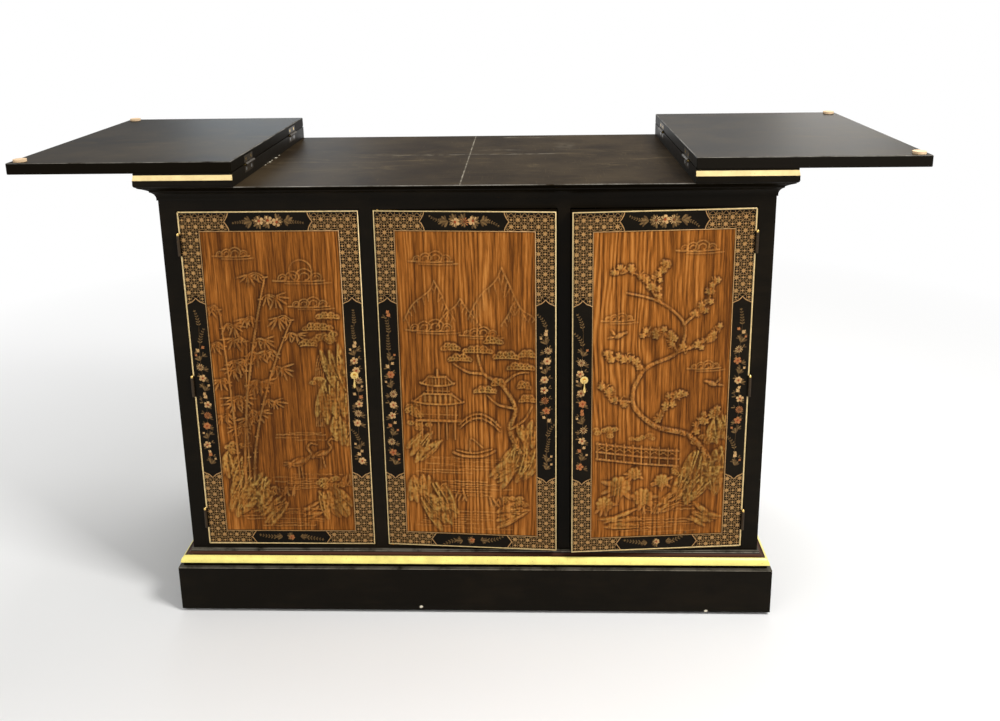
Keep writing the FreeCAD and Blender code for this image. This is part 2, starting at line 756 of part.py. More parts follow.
def add_pocket(body, sketch, length, name, ahead):
    """A pocket, ahead of the sketch's face or behind it, that has to take material away."""
    before = body.Shape.Volume
    pocket = body.newObject("PartDesign::Pocket", name)
    pocket.Profile = sketch
    pocket.Reversed = ahead
    pocket.setExpression("Length", bound(length))
    doc.recompute()
    if body.Shape.Volume >= before:
        raise RuntimeError(name + " cuts nothing")
    return pocket


def add_fillet(body, base, radius, chosen):
    """Rounds the edges of a feature that the function chosen picks."""
    fillet = body.newObject("PartDesign::Fillet", body.Name + "_round")
    picked = ["Edge%d" % number for number, edge in enumerate(base.Shape.Edges, start=1)
              if chosen(edge)]
    fillet.Base = (base, picked)
    fillet.setExpression("Radius", bound(radius))
    doc.recompute()


def make_leaf(side):
    """A leaf lying open. Its own frame starts at the hinge edge, and the leaf is the same
    front to back, so the left one is the right one turned half round."""
    if side == "right":
        place = Placement(Vector(v("block_inner"), v("front"), v("leaf_bottom")), Rotation())
    else:
        place = Placement(Vector(-v("block_inner"), v("back"), v("leaf_bottom")),
                          Rotation(Vector(0, 0, 1), 180))
    body = new_body(side + "_leaf", place)
    plan = sketch_on(body, "XY_Plane", side + "_leaf_plan")
    draw_rectangle(plan, "0 * leaf_width", "0 * top_depth", "leaf_width", "top_depth")
    slab = add_pad(body, plan, "leaf_thickness", side + "_leaf_slab")
    add_fillet(body, slab, "leaf_edge_radius", lambda edge: True)
    seats = sketch_on(body, "YZ_Plane", side + "_leaf_seats")
    holes = sketch_on(body, "YZ_Plane", side + "_leaf_holes")
    for end in ENDS.values():
        centre = "top_depth / 2 + %d * leaf_hinge_spread" % end
        draw_rectangle(seats, centre + " - leaf_hinge_length / 2 - mortise_fit", "-overrun",
                       centre + " + leaf_hinge_length / 2 + mortise_fit",
                       "leaf_plate_height + mortise_fit - leaf_rest_gap / 2")
        for step in (-1, 1):
            draw_circle(holes, "screw_shank_radius + pin_fit", centre + " + %d * screw_spread" % step,
                        "leaf_plate_height - screw_inset - leaf_rest_gap / 2")
    add_pocket(body, seats, "leaf_plate_thickness", side + "_leaf_mortises", True)
    add_pocket(body, holes, "leaf_plate_thickness + screw_length + pin_fit",
               side + "_leaf_pilots", True)
    keep(side + "_leaf", body)


def make_leaf_fittings():
    fixed = []
    for side in SIDES:
        fixed += leaf_plates(side, -1)
        moving = leaf_plates(side, 1)
        keep(side + "_leaf_hinge_plates", shaped(side + "_leaf_hinge_plates",
                                                 Part.makeCompound(moving)))
        keep(side + "_leaf_screws", shaped(side + "_leaf_screws",
                                           Part.makeCompound(leaf_screws(side, 1, 0))))
        pads = []
        for end, level in (("front", "front + pad_inset"), ("back", "back - pad_inset")):
            pads.append(peg("%s_%s_pad" % (side, end), "pad_radius", "pad_thickness",
                            "%d * (block_inner + leaf_width - pad_inset)" % SIDES[side],
                            level, "leaf_top"))
        keep(side + "_leaf_pads", group(side + "_leaf_pads", pads))
    keep("leaf_hinge_end_plates", shaped("leaf_hinge_end_plates", Part.makeCompound(fixed)))


# Doors. Each is drawn shut, then turned about its hinge axis to the angle it stands at.

def door_turn(bay):
    """The placement that turns a door, drawn shut, to where it stands."""
    axis, angle = {
        "left": (Vector(-v("outer_axis"), v("door_axis"), 0), 0),
        "middle": (Vector(-v("knife_axis"), v("knife_line"), 0), -v("middle_ajar")),
        "right": (Vector(v("outer_axis"), v("door_axis"), 0), v("right_ajar")),
    }[bay]
    return Placement(Vector(), Rotation(Vector(0, 0, 1), angle), axis)


def door_corner(bay):
    """The shut door's lower left front corner."""
    return Vector(BAYS[bay] * v("bay_pitch") - v("door_width") / 2, v("face"), v("door_bottom"))


def hinge_levels(start="0"):
    """Heights of the three door hinges' centres above a start level."""
    low = start + " + door_hinge_bottom_inset"
    high = start + " + door_height - door_hinge_top_inset"
    return [low, "(%s + %s) / 2" % (low, high), high]


def make_door(bay):
    body = new_body(bay + "_door", door_turn(bay).multiply(Placement(door_corner(bay), Rotation())))
    plan = sketch_on(body, "XY_Plane", bay + "_door_plan")
    draw_rectangle(plan, "0 * door_width", "0 * door_width", "door_width", "door_thickness")
    slab = add_pad(body, plan, "door_height", bay + "_door_slab")
    add_fillet(body, slab, "door_edge_radius", lambda edge: edge.BoundBox.YMax < v("door_edge_radius"))
    recess = sketch_on(body, "XZ_Plane", bay + "_door_recess")
    draw_rectangle(recess, "border_side", "border_bottom", "door_width - border_side",
                   "door_height - border_top")
    add_pocket(body, recess, "panel_recess", bay + "_door_inlay", False)
    if bay == "middle":
        add_knife_mortises(body)
    else:
        add_butt_mortises(body, bay)
        add_pull_hole(body, bay)
    keep(bay + "_door", body)


def add_butt_mortises(body, bay):
    """Seats for the butt hinge plates in the door's hinged edge."""
    at_left = bay == "left"
    seats = sketch_on(body, "YZ_Plane", bay + "_door_seats", None if at_left else "door_width")
    for level in hinge_levels("0 * door_height"):
        draw_rectangle(seats, "-overrun", level + " - door_hinge_length / 2 - mortise_fit",
                       "door_plate_depth + mortise_fit - door_axis_stand",
                       level + " + door_hinge_length / 2 + mortise_fit")
    add_pocket(body, seats, "door_plate_thickness", bay + "_door_mortises", at_left)


def add_knife_mortises(body):
    """Seats for the knife hinge plates in the middle door's lower and upper edges."""
    for end, lift in (("lower", None), ("upper", "door_height")):
        seat = sketch_on(body, "XY_Plane", end + "_knife_seat", lift)
        draw_rectangle(seat, "-overrun", "knife_depth - knife_width / 2 - mortise_fit",
                       "knife_length + mortise_fit", "knife_depth + knife_width / 2 + mortise_fit")
        add_pocket(body, seat, "knife_thickness", end + "_knife_mortise", end == "lower")


def add_pull_hole(body, bay):
    hole = sketch_on(body, "XZ_Plane", bay + "_pull_hole")
    across = "door_width - pull_inset" if bay == "left" else "pull_inset"
    draw_circle(hole, "pull_stud_radius + pin_fit", across, "pull_height - door_bottom")
    add_pocket(body, hole, "pull_stud_length + pin_fit", bay + "_pull_bore", False)


def make_door_panel(bay):
    """The wood panel inlaid in a door, a little below the face of the border."""
    panel = doc.addObject("Part::Box", bay + "_door_panel")
    panel.setExpression("Length", bound("door_width - 2 * border_side"))
    panel.setExpression("Width", bound("panel_recess - panel_sink"))
    panel.setExpression("Height", bound("door_height - border_top - border_bottom"))
    inset = Vector(v("border_side"), v("panel_sink"), v("border_bottom"))
    panel.Placement = door_turn(bay).multiply(Placement(door_corner(bay) + inset, Rotation()))
    keep(bay + "_door_panel", panel)


def level_values():
    """Heights of the butt hinges' centres above the floor."""
    low = v("door_bottom") + v("door_hinge_bottom_inset")
    high = v("door_top") - v("door_hinge_top_inset")
    return [low, (low + high) / 2, high]


def butt_plates(bay, on_door):
    """The three plates of a door's butt hinges, on the door or on its stile."""
    toward_door = 1 if bay == "left" else -1
    sign = toward_door if on_door else -toward_door
    mine = (1, 3) if on_door else (0, 2, 4)
    turn = Rotation(Vector(sign, 0, 0), Vector(0, 1, 0), Vector(0, 0, sign), "XYZ")
    plates = []
    for level in level_values():
        plate = knuckled_plate(v("door_hinge_length"), v("door_gap") / 2, v("door_plate_thickness"),
                               v("door_plate_depth"), v("door_knuckle_radius"),
                               v("door_pin_radius"), mine)
        axis = Vector(SIDES[bay] * v("outer_axis"), v("door_axis"), level)
        plate.Placement = Placement(axis, turn)
        plates.append(plate)
    return plates


def door_pins():
    """Pins of the butt hinges, each with a ball finial on a collar."""
    pins = []
    radius, ball = v("door_pin_radius") - v("pin_fit"), v("finial_radius")
    for sign in SIDES.values():
        for level in level_values():
            low = Vector(sign * v("outer_axis"), v("door_axis"), level - v("door_hinge_length") / 2)
            top = low + Vector(0, 0, v("door_hinge_length"))
            pin = Part.makeCylinder(radius, v("door_hinge_length") + v("finial_collar"), low)
            collar = Part.makeCylinder(ball, v("finial_collar"), top)
            finial = Part.makeSphere(ball, top + Vector(0, 0, v("finial_collar") + ball / 2))
            pins.append(pin.multiFuse([collar, finial]).Solids[0])
    return pins


def make_butt_hinges():
    for bay in SIDES:
        keep(bay + "_door_hinge_plates", shaped(bay + "_door_hinge_plates",
                                                Part.makeCompound(butt_plates(bay, True)),
                                                door_turn(bay)))
    fixed = butt_plates("left", False) + butt_plates("right", False)
    keep("door_hinge_stile_plates", shaped("door_hinge_stile_plates", Part.makeCompound(fixed)))
    keep("hinge_pins", shaped("hinge_pins", Part.makeCompound(door_pins() + leaf_pins())))


def make_knife_hinges():
    """Pivot plates above and below the middle door. The rail's plate carries the pin."""
    fixed, moving = [], []
    half = v("knife_width") / 2
    start = -v("knife_axis") - v("knife_inset")
    thick = v("knife_thickness")
    for rail, sign in ((v("opening_bottom"), 1), (v("opening_top"), -1)):
        centre = Vector(-v("knife_axis"), v("knife_line"), rail - sign * thick)
        up = Vector(0, 0, sign)
        low = rail - thick if sign > 0 else rail
        plate = Part.makeBox(v("knife_length"), 2 * half, thick,
                             Vector(start + v("door_gap"), v("knife_line") - half, low))
        pin = Part.makeCylinder(v("knife_pin_radius"), 2 * thick + v("door_gap") - v("pin_fit"),
                                centre, up)
        fixed.append(plate.fuse(pin).Solids[0])
        low = rail + v("door_gap") if sign > 0 else rail - v("door_gap") - thick
        plate = Part.makeBox(v("knife_length"), 2 * half, thick,
                             Vector(start, v("knife_line") - half, low))
        bore = Part.makeCylinder(v("knife_pin_radius") + v("pin_fit"), 2 * thick + 2 * v("door_gap"),
                                 centre, up)
        moving.append(plate.cut(bore).Solids[0])
    keep("knife_hinge_rail_plates", shaped("knife_hinge_rail_plates", Part.makeCompound(fixed)))
    keep("knife_hinge_door_plates", shaped("knife_hinge_door_plates", Part.makeCompound(moving),
                                           door_turn("middle")))


def pull_centre(bay):
    """Where a pull's drop hangs, on the shut door."""
    across = BAYS[bay] * (v("bay_pitch") - v("pull_from_bay"))
    return Vector(across, v("pull_axis"), v("pull_height"))


def make_pull(bay):
    """A rosette with two ears and a cross pin, and the drop that hangs from it."""
    centre = pull_centre(bay)
    eye, gap, ear = v("pull_eye_radius"), v("pull_ear_gap"), v("pull_ear_thickness")
    on_face = Vector(centre.x, v("face"), centre.z)
    rosette = Part.makeCylinder(v("rosette_radius"), v("rosette_thickness"), on_face, Vector(0, -1, 0))
    stud = Part.makeCylinder(v("pull_stud_radius"), v("pull_stud_length"), on_face, Vector(0, 1, 0))
    parts = [stud, Part.makeCylinder(v("pull_pin_radius"), 2 * (gap + ear),
                                     centre - Vector(gap + ear, 0, 0), Vector(1, 0, 0))]
    for low in (-gap - ear, gap):
        corner = centre + Vector(low, 0, 0)
        parts.append(Part.makeCylinder(eye, ear, corner, Vector(1, 0, 0)))
        parts.append(Part.makeBox(ear, v("pull_stand"), 2 * eye, corner - Vector(0, 0, eye)))
    keep(bay + "_pull_mount", shaped(bay + "_pull_mount", rosette.multiFuse(parts).Solids[0],
                                     door_turn(bay)))
    keep(bay + "_pull_drop", shaped(bay + "_pull_drop", drop_shape(centre), door_turn(bay)))


def drop_shape(centre):
    """A teardrop turned about the upright through its pivot, with an eye for the cross pin."""
    neck, length = v("drop_neck_radius"), v("drop_length")
    belly, neck_end = v("drop_belly"), v("drop_neck_length")

    def at(out, down):
        return centre + Vector(out, 0, -down)

    swell = Part.BSplineCurve()
    swell.interpolate([at(neck, neck_end), at((neck + v("drop_radius")) / 2, (neck_end + belly) / 2),
                       at(v("drop_radius"), belly), at(0, length)])
    half = Part.Wire([Part.LineSegment(at(0, 0), at(neck, 0)).toShape(),
                      Part.LineSegment(at(neck, 0), at(neck, neck_end)).toShape(),
                      swell.toShape(),
                      Part.LineSegment(at(0, length), at(0, 0)).toShape()])
    drop = Part.Face(half).revolve(centre, Vector(0, 0, 1), 360)
    width = v("pull_ear_gap") - v("pull_side_gap")
    eye = Part.makeCylinder(v("pull_eye_radius"), 2 * width, centre - Vector(width, 0, 0),
                            Vector(1, 0, 0))
    hole = Part.makeCylinder(v("pull_pin_radius") + v("pin_fit"), 2 * (width + v("pull_ear_gap")),
                             centre - Vector(width + v("pull_ear_gap"), 0, 0), Vector(1, 0, 0))
    return drop.fuse(eye).cut(hole).Solids[0]


# Casters

CORNERS = {"front_left": (-1, -1), "front_right": (1, -1), "back_left": (-1, 1), "back_right": (1, 1)}


def caster_centre(corner):
    across, along = CORNERS[corner]
    return Vector(across * v("caster_across"), along * v("caster_along"), 0)


def caster_screws(fit):
    """Screws up through the corners of the caster plates."""
    found = []
    spread = v("caster_plate_size") / 2 - v("caster_screw_inset")
    for corner in CORNERS:
        for across in (-1, 1):
            for along in (-1, 1):
                made = screw(v("screw_head_radius"), v("screw_shank_radius"),
                             v("caster_plate_thickness"), fit)
                made.translate(caster_centre(corner) + Vector(
                    across * spread, along * spread,
                    v("caster_height") - v("caster_plate_thickness")))
                found.append(made)
    return found


def make_caster_mounts():
    """Rails under the floor of the cabinet, with a plate, a boss and a kingpin at each corner."""
    rails = []
    for sign in SIDES.values():
        low = Vector(sign * v("caster_across") - v("caster_rail_width") / 2, v("frame_back"),
                     v("caster_height"))
        rail = Part.makeBox(v("caster_rail_width"),
                            v("back") - v("panel_thickness") - v("frame_back"),
                            v("floor_bottom") - v("caster_height"), low)
        rails.append(rail.cut(caster_screws(v("pin_fit"))).Solids[0])
    keep("caster_rails", shaped("caster_rails", Part.makeCompound(rails)))
    size, thick = v("caster_plate_size"), v("caster_plate_thickness")
    plates = []
    for corner in CORNERS:
        centre = caster_centre(corner)
        top = centre + Vector(0, 0, v("caster_height") - thick)
        plate = Part.makeBox(size, size, thick, top - Vector(size / 2, size / 2, 0))
        boss = Part.makeCylinder(v("caster_boss_radius"), v("caster_boss_height"), top,
                                 Vector(0, 0, -1))
        head_top = centre + Vector(0, 0, v("fork_disc_bottom") - v("swivel_gap"))
        pin = Part.makeCylinder(v("kingpin_radius"), top.z - head_top.z, head_top)
        head = Part.makeCylinder(v("kingpin_head_radius"), v("kingpin_head_height"), head_top,
                                 Vector(0, 0, -1))
        plate = plate.multiFuse([boss, pin, head]).cut(caster_screws(v("pin_fit")))
        plates.append(plate.Solids[0])
    keep("caster_plates", shaped("caster_plates", Part.makeCompound(plates)))


def make_carcass_screws():
    """Every screw that goes into the carcass: leaf hinges and casters."""
    found = leaf_screws("left", -1, 0) + leaf_screws("right", -1, 0) + caster_screws(0)
    keep("carcass_screws", shaped("carcass_screws", Part.makeCompound(found)))


def make_fork(corner):
    """A swivel disc with two arms down to the wheel and a riveted axle."""
    trail, level = v("caster_trail"), v("wheel_radius")
    disc, arm = v("fork_disc_radius"), v("fork_arm_radius")
    bottom, thick, inner = v("fork_disc_bottom"), v("fork_arm_thickness"), v("fork_inner")
    plate = Part.makeCylinder(disc, v("fork_disc_thickness"), Vector(0, 0, bottom))
    parts = []
    for low in (-inner - thick, inner):
        wide = (disc ** 2 - (inner + thick) ** 2) ** 0.5
        edges = [Part.LineSegment(Vector(low, -wide, bottom), Vector(low, wide, bottom)).toShape(),
                 Part.LineSegment(Vector(low, wide, bottom), Vector(low, trail + arm, level)).toShape(),
                 Part.Arc(Vector(low, trail + arm, level), Vector(low, trail, level - arm),
                          Vector(low, trail - arm, level)).toShape(),
                 Part.LineSegment(Vector(low, trail - arm, level), Vector(low, -wide, bottom)).toShape()]
        parts.append(Part.Face(Part.Wire(edges)).extrude(Vector(thick, 0, 0)))
    parts.append(Part.makeCylinder(v("axle_radius"), 2 * (inner + thick),
                                   Vector(-inner - thick, trail, level), Vector(1, 0, 0)))
    bore = Part.makeCylinder(v("kingpin_radius") + v("pin_fit"), v("caster_height"), Vector())
    fork = plate.multiFuse(parts).cut(bore).Solids[0]
    keep("caster_fork_" + corner, shaped("caster_fork_" + corner, fork,
                                         Placement(caster_centre(corner), Rotation())))


def make_wheel(corner):
    """A wheel turned from a half section about its axle, with a dished side and a rounded tread."""
    centre = caster_centre(corner) + Vector(0, v("caster_trail"), v("wheel_radius"))
    body = new_body("caster_wheel_" + corner, Placement(centre, Rotation()))
    section = sketch_on(body, "XY_Plane", corner + "_wheel_section")
    bore, hub = v("axle_radius") + v("pin_fit"), v("wheel_hub_radius")
    rim, half = v("wheel_radius"), v("wheel_width") / 2
    dish, edge = half - v("wheel_dish"), v("wheel_edge_radius")
    tread = rim - 2 * edge
    points = [(-half, bore), (-half, hub), (-dish, hub), (-dish, tread), (-half, tread),
              (-half, rim - edge), (-half + edge, rim), (half - edge, rim), (half, rim - edge),
              (half, tread), (dish, tread), (dish, hub), (half, hub), (half, bore)]
    arcs = {5: (-half + edge, rim - edge, 90), 7: (half - edge, rim - edge, 0)}
    for number, (u, w) in enumerate(points):
        there = points[(number + 1) % len(points)]
        if number in arcs:
            at_u, at_w, start = arcs[number]
            circle = Part.Circle(Vector(at_u, at_w, 0), Vector(0, 0, 1), edge)
            quarter = FreeCAD.Units.Quantity(start, FreeCAD.Units.Angle).getValueAs("rad").Value
            turn = FreeCAD.Units.Quantity(90, FreeCAD.Units.Angle).getValueAs("rad").Value
            sketch_arc = Part.ArcOfCircle(circle, quarter, quarter + turn)
            section.addGeometry(sketch_arc, False)
        else:
            section.addGeometry(Part.LineSegment(Vector(u, w, 0), Vector(*there, 0)), False)
    wheel = body.newObject("PartDesign::Revolution", corner + "_wheel_turned")
    wheel.Profile = section
    wheel.ReferenceAxis = (section, ["H_Axis"])
    wheel.Angle = 360
    doc.recompute()
    keep("caster_wheel_" + corner, body)


def make_all():
    make_sides()
    make_partitions()
    make_panels()
    make_stiles()
    make_top_rail()
    make_bottom_rail()
    make_shelves()
    make_catches()
    make_mouldings()
    make_worktop()
    make_end_blocks()
    make_brass_bands()
    for side in SIDES:
        make_leaf(side)
    make_leaf_fittings()
    for bay in BAYS:
        make_door(bay)
        make_door_panel(bay)
    make_butt_hinges()
    make_knife_hinges()
    for bay in SIDES:
        make_pull(bay)
    make_caster_mounts()
    make_carcass_screws()
    for corner in CORNERS:
        make_fork(corner)
        make_wheel(corner)


def check_and_export():
    """Stops at a failed object or a bad shape, then writes one file for each node."""
    doc.recompute()
    for made in doc.Objects:
        if "Invalid" in made.State or "Error" in made.State:
            raise RuntimeError(made.Label + " failed")
    for label, made in nodes.items():
        if made.Shape.isNull() or not made.Shape.isValid():
            raise RuntimeError(label + " has a bad shape")
    os.makedirs("parts", exist_ok=True)
    for label, made in nodes.items():
        made.Shape.exportStep("parts/%s.step" % label)
    print(len(nodes), "nodes")


make_all()
check_and_export()
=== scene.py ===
import math
import random
from fnmatch import fnmatch

import bpy
import numpy as np
from mathutils import Matrix, Vector


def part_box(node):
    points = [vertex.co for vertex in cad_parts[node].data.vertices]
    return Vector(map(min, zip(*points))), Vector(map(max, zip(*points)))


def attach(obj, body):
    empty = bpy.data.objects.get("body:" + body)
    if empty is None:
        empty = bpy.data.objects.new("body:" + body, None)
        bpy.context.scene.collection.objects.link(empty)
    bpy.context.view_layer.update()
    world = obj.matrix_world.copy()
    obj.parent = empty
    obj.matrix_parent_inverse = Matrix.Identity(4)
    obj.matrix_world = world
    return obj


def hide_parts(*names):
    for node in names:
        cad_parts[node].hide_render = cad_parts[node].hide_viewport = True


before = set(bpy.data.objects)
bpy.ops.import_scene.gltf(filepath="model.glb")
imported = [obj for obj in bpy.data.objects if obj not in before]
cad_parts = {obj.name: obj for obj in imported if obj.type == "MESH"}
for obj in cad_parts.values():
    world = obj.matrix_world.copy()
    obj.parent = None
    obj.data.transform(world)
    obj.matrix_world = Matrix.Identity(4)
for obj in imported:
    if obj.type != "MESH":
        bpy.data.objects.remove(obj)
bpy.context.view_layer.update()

TURN = 2 * math.pi
UP = math.pi / 2

# The doors, in millimetres as in the drawing. u runs across a door from its left edge, w up from
# its bottom edge, and the third number out of its face.
DOOR_WIDE = 317.0
DOOR_TALL = 650.0
DOOR_PITCH = 342.0
DOOR_FACE = -225.0
DOOR_FOOT = 130.0
DOORS = ("left", "middle", "right")
# How far each door stands open, in degrees, and where its hinge pin is, in x and y.
AJAR = {"left": (0.0, -501.25, -228.0), "middle": (-3.3, -150.5, -221.0), "right": (4.2, 501.25, -228.0)}
# The carved panel: how wide the door's border is beside, over and under it, and how far its own face
# and back lie below the door's face.
PANEL_SIDE = 37.0
PANEL_TOP = 37.0
PANEL_FOOT = 29.0
PANEL_SUNK = 0.8
PANEL_BACK = 3.5
HINGE_LEVELS = (55.0, 322.0, 589.0)
HINGE_HALF = 20.5
HINGE_SIDE = {"left": 0, "middle": None, "right": 1}
# How far the painted layers stand off the face, so that lines lie over lattice and sprays.
PAINT_LIFT = 0.03
LINE_LIFT = 0.11


def tone(red, green, blue, share=1.0):
    """A paint colour from its usual 0 to 255 numbers, as the shader wants it."""
    parts = [v / 255 for v in (red, green, blue)]
    flat = [v / 12.92 if v <= 0.04045 else ((v + 0.055) / 1.055) ** 2.4 for v in parts]
    return (*flat, share)


def scaled(colour, share):
    """A paint colour made darker or lighter."""
    return (*(v * share for v in colour[:3]), colour[3])


class Line:
    """One output in a node tree, which can be added, multiplied and so on."""

    def __init__(self, net, socket):
        self.net = net
        self.socket = socket

    def maths(self, kind, first, second=0.0):
        return self.net.node("ShaderNodeMath", {0: first, 1: second}, operation=kind)

    def out(self, name):
        return Line(self.net, self.socket.node.outputs[name])

    def __add__(self, other):
        return self.maths("ADD", self, other)

    def __radd__(self, other):
        return self.maths("ADD", other, self)

    def __sub__(self, other):
        return self.maths("SUBTRACT", self, other)

    def __rsub__(self, other):
        return self.maths("SUBTRACT", other, self)

    def __mul__(self, other):
        return self.maths("MULTIPLY", self, other)

    def __rmul__(self, other):
        return self.maths("MULTIPLY", other, self)

    def __truediv__(self, other):
        return self.maths("DIVIDE", self, other)

    def __abs__(self):
        return self.maths("ABSOLUTE", self)

    def wave(self):
        return self.maths("SINE", self)

    def within(self, low, high):
        """0 below low, 1 above high and even between them."""
        ends = {"From Min": low, "From Max": high}
        return self.net.node("ShaderNodeMapRange", {"Value": self, **ends}, clamp=True)


class Net:
    """A node tree that is written as expressions."""

    def __init__(self, tree):
        self.tree = tree

    def node(self, kind, sockets=None, out=0, **settings):
        made = self.tree.nodes.new(kind)
        for name, value in settings.items():
            if name == "stops":
                ramp = made.color_ramp
                while len(ramp.elements) < len(value):
                    ramp.elements.new(0.5)
                for stop, (place, colour) in zip(ramp.elements, value):
                    stop.position = place
                    stop.color = colour
            else:
                setattr(made, name, value)
        for name, value in (sockets or {}).items():
            if isinstance(value, Line):
                self.tree.links.new(value.socket, made.inputs[name])
            else:
                made.inputs[name].default_value = value
        return Line(self, made.outputs[out]) if len(made.outputs) else None

    def seen(self):
        """1 for what is looked at, straight or in a reflection, and 0 for what only lights the rest."""
        ray = self.node("ShaderNodeLightPath")
        return (ray + ray.out("Is Glossy Ray") + ray.out("Is Transmission Ray")).within(0.0, 1.0)

    def stored(self, name):
        """A number that each point of a mesh brings with it."""
        return self.node("GeometryNodeInputNamedAttribute", {"Name": name}, data_type="FLOAT")


class Finish(Net):
    """A material of this cabinet."""

    def __init__(self, name):
        self.material = bpy.data.materials.new(name)
        self.material.use_nodes = True
        super().__init__(self.material.node_tree)
        self.tree.nodes.clear()

    def place(self):
        return self.node("ShaderNodeTexCoord").out("Object")

    def axes(self):
        """The place as numbers: this is x, and y and z are its other outputs."""
        return self.node("ShaderNodeSeparateXYZ", {0: self.place()})

    def stretched(self, x, y, z, shift=(0.0, 0.0, 0.0)):
        return self.node("ShaderNodeMapping", {"Vector": self.place(), "Scale": (x, y, z), "Location": shift})

    def noise(self, scale, detail=3.0, rough=0.55, warp=0.0, at=None):
        sizes = {"Scale": scale, "Detail": detail, "Roughness": rough, "Distortion": warp}
        return self.node("ShaderNodeTexNoise", {"Vector": at or self.place(), **sizes})

    def mix(self, share, first, second):
        return self.node("ShaderNodeMix", {0: share, 6: first, 7: second}, out=2, data_type="RGBA")

    def ramp(self, share, *stops):
        return self.node("ShaderNodeValToRGB", {"Fac": share}, stops=stops)

    def bump(self, height, strength, depth):
        return self.node("ShaderNodeBump", {"Height": height, "Strength": strength, "Distance": depth})

    def highlight_levels(self, levels, half=0.0006):
        """Thin pale lines at heights where an edge catches the light: painted highlights, broken up by noise.
        """
        z = self.axes().out("Z")
        lines = 0.0
        for level in levels:
            lines = lines + (1 - abs(z - level) / half).within(0.0, 0.7)
        return lines * self.noise(30.0, 5.0, 0.7).within(0.3, 0.55)

    def highlight_edges(self, node, half=0.0014):
        """1 along the straight upper edges of a box shaped node, where its top meets its sides: where a
        painted highlight goes.
        """
        low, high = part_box(node)
        apart = self.axes()
        across = (high[0] - low[0]) / 2 - abs(apart.out("X") - (low[0] + high[0]) / 2)
        deep = (high[1] - low[1]) / 2 - abs(apart.out("Y") - (low[1] + high[1]) / 2)
        side = across.maths("MINIMUM", across, deep)
        edge = side.maths("MAXIMUM", side, high[2] - apart.out("Z"))
        patchy = self.noise(16.0, 5.0, 0.7).within(0.36, 0.62)
        return (1 - edge / half).within(0.0, 0.6) * patchy

    def spot(self, x, y, z, size):
        """1 inside a small uneven spot, such as a chip."""
        ends = {0: self.place(), 1: (x, y, z)}
        away = self.node("ShaderNodeVectorMath", ends, "Value", operation="DISTANCE")
        return 1 - (away + self.noise(300.0) * size * 0.8).within(size * 0.9, size * 1.2)

    def done(self, **sockets):
        named = {name.replace("_", " "): value for name, value in sockets.items()}
        self.node("ShaderNodeOutputMaterial", {"Surface": self.node("ShaderNodeBsdfPrincipled", named)})
        return self.material


# The finishes.
BLACK = tone(15, 11, 5)
BLACK_RUBBED = tone(30, 23, 13)
# A pale grey for real scuffs and a seam on the tops, and for the painted highlight lines on the mouldings.
RUB_AND_HIGHLIGHT_PALE = tone(168, 160, 142)
CHIPPED = tone(220, 210, 188)
CREAM_GOLD = tone(232, 202, 140)
TAN_GOLD = tone(190, 144, 84)
LATTICE_GOLD = tone(182, 136, 74)
# The strokes' paints. A share of 0 keeps the deeper root out of leaves and centres.
CREAM = tone(190, 150, 98)
BLUSH = tone(164, 102, 56)
RUST = tone(140, 60, 26, 0.0)
BROWN = tone(104, 58, 28, 0.0)
OLIVE = tone(80, 58, 30, 0.0)
SAGE = tone(114, 87, 50, 0.0)


def black_lacquer(name, levels=(), chips=(), warm=None, dull=0.34, shine=0.06):
    """Black lacquer with a little orange peel and faint wear.

    It may have pale lines at levels, which are painted highlights, a brown band at the height warm, and
    chips.
    """
    f = Finish(name)
    cloud = f.noise(7.0, 4.0)
    haze = f.noise(55.0, 3.0, at=f.stretched(0.3, 1.0, 1.0))
    rub = (cloud * 0.65 + haze * 0.35).within(0.47, 0.74)
    fine = f.noise(900.0, 2.0)
    peel = f.noise(210.0, 1.0)
    body = f.mix(rub * 0.7, BLACK, BLACK_RUBBED)
    if warm:
        z = f.axes().out("Z")
        body = f.mix((1 - abs(z - warm) / 0.0016).within(0.0, 0.6) * 0.8, body, tone(84, 54, 40))
    if levels:
        # Pale lines at the levels: painted highlights where an edge catches the light.
        body = f.mix(f.highlight_levels(levels) * 0.8, body, RUB_AND_HIGHLIGHT_PALE)
    for chip in chips:
        body = f.mix(f.spot(*chip), body, CHIPPED)
    return f.done(
        Base_Color=body,
        Roughness=dull + rub * 0.14 + fine * 0.05,
        Specular_IOR_Level=shine,
        Normal=f.bump(peel, 0.12, 0.0002),
    )


def inner_wood(name):
    """Thin matt dark paint over wood, inside the cabinet and under the top."""
    f = Finish(name)
    grain = f.noise(160.0, 4.0, at=f.stretched(0.06, 1.0, 1.0))
    cloud = f.noise(6.0, 3.0)
    return f.done(
        Base_Color=f.ramp(grain * 0.7 + cloud * 0.3, (0.3, tone(44, 30, 20)), (0.7, tone(76, 55, 38))),
        Roughness=0.62 + grain * 0.1,
        Specular_IOR_Level=0.3,
        Normal=f.bump(grain, 0.2, 0.0003),
    )


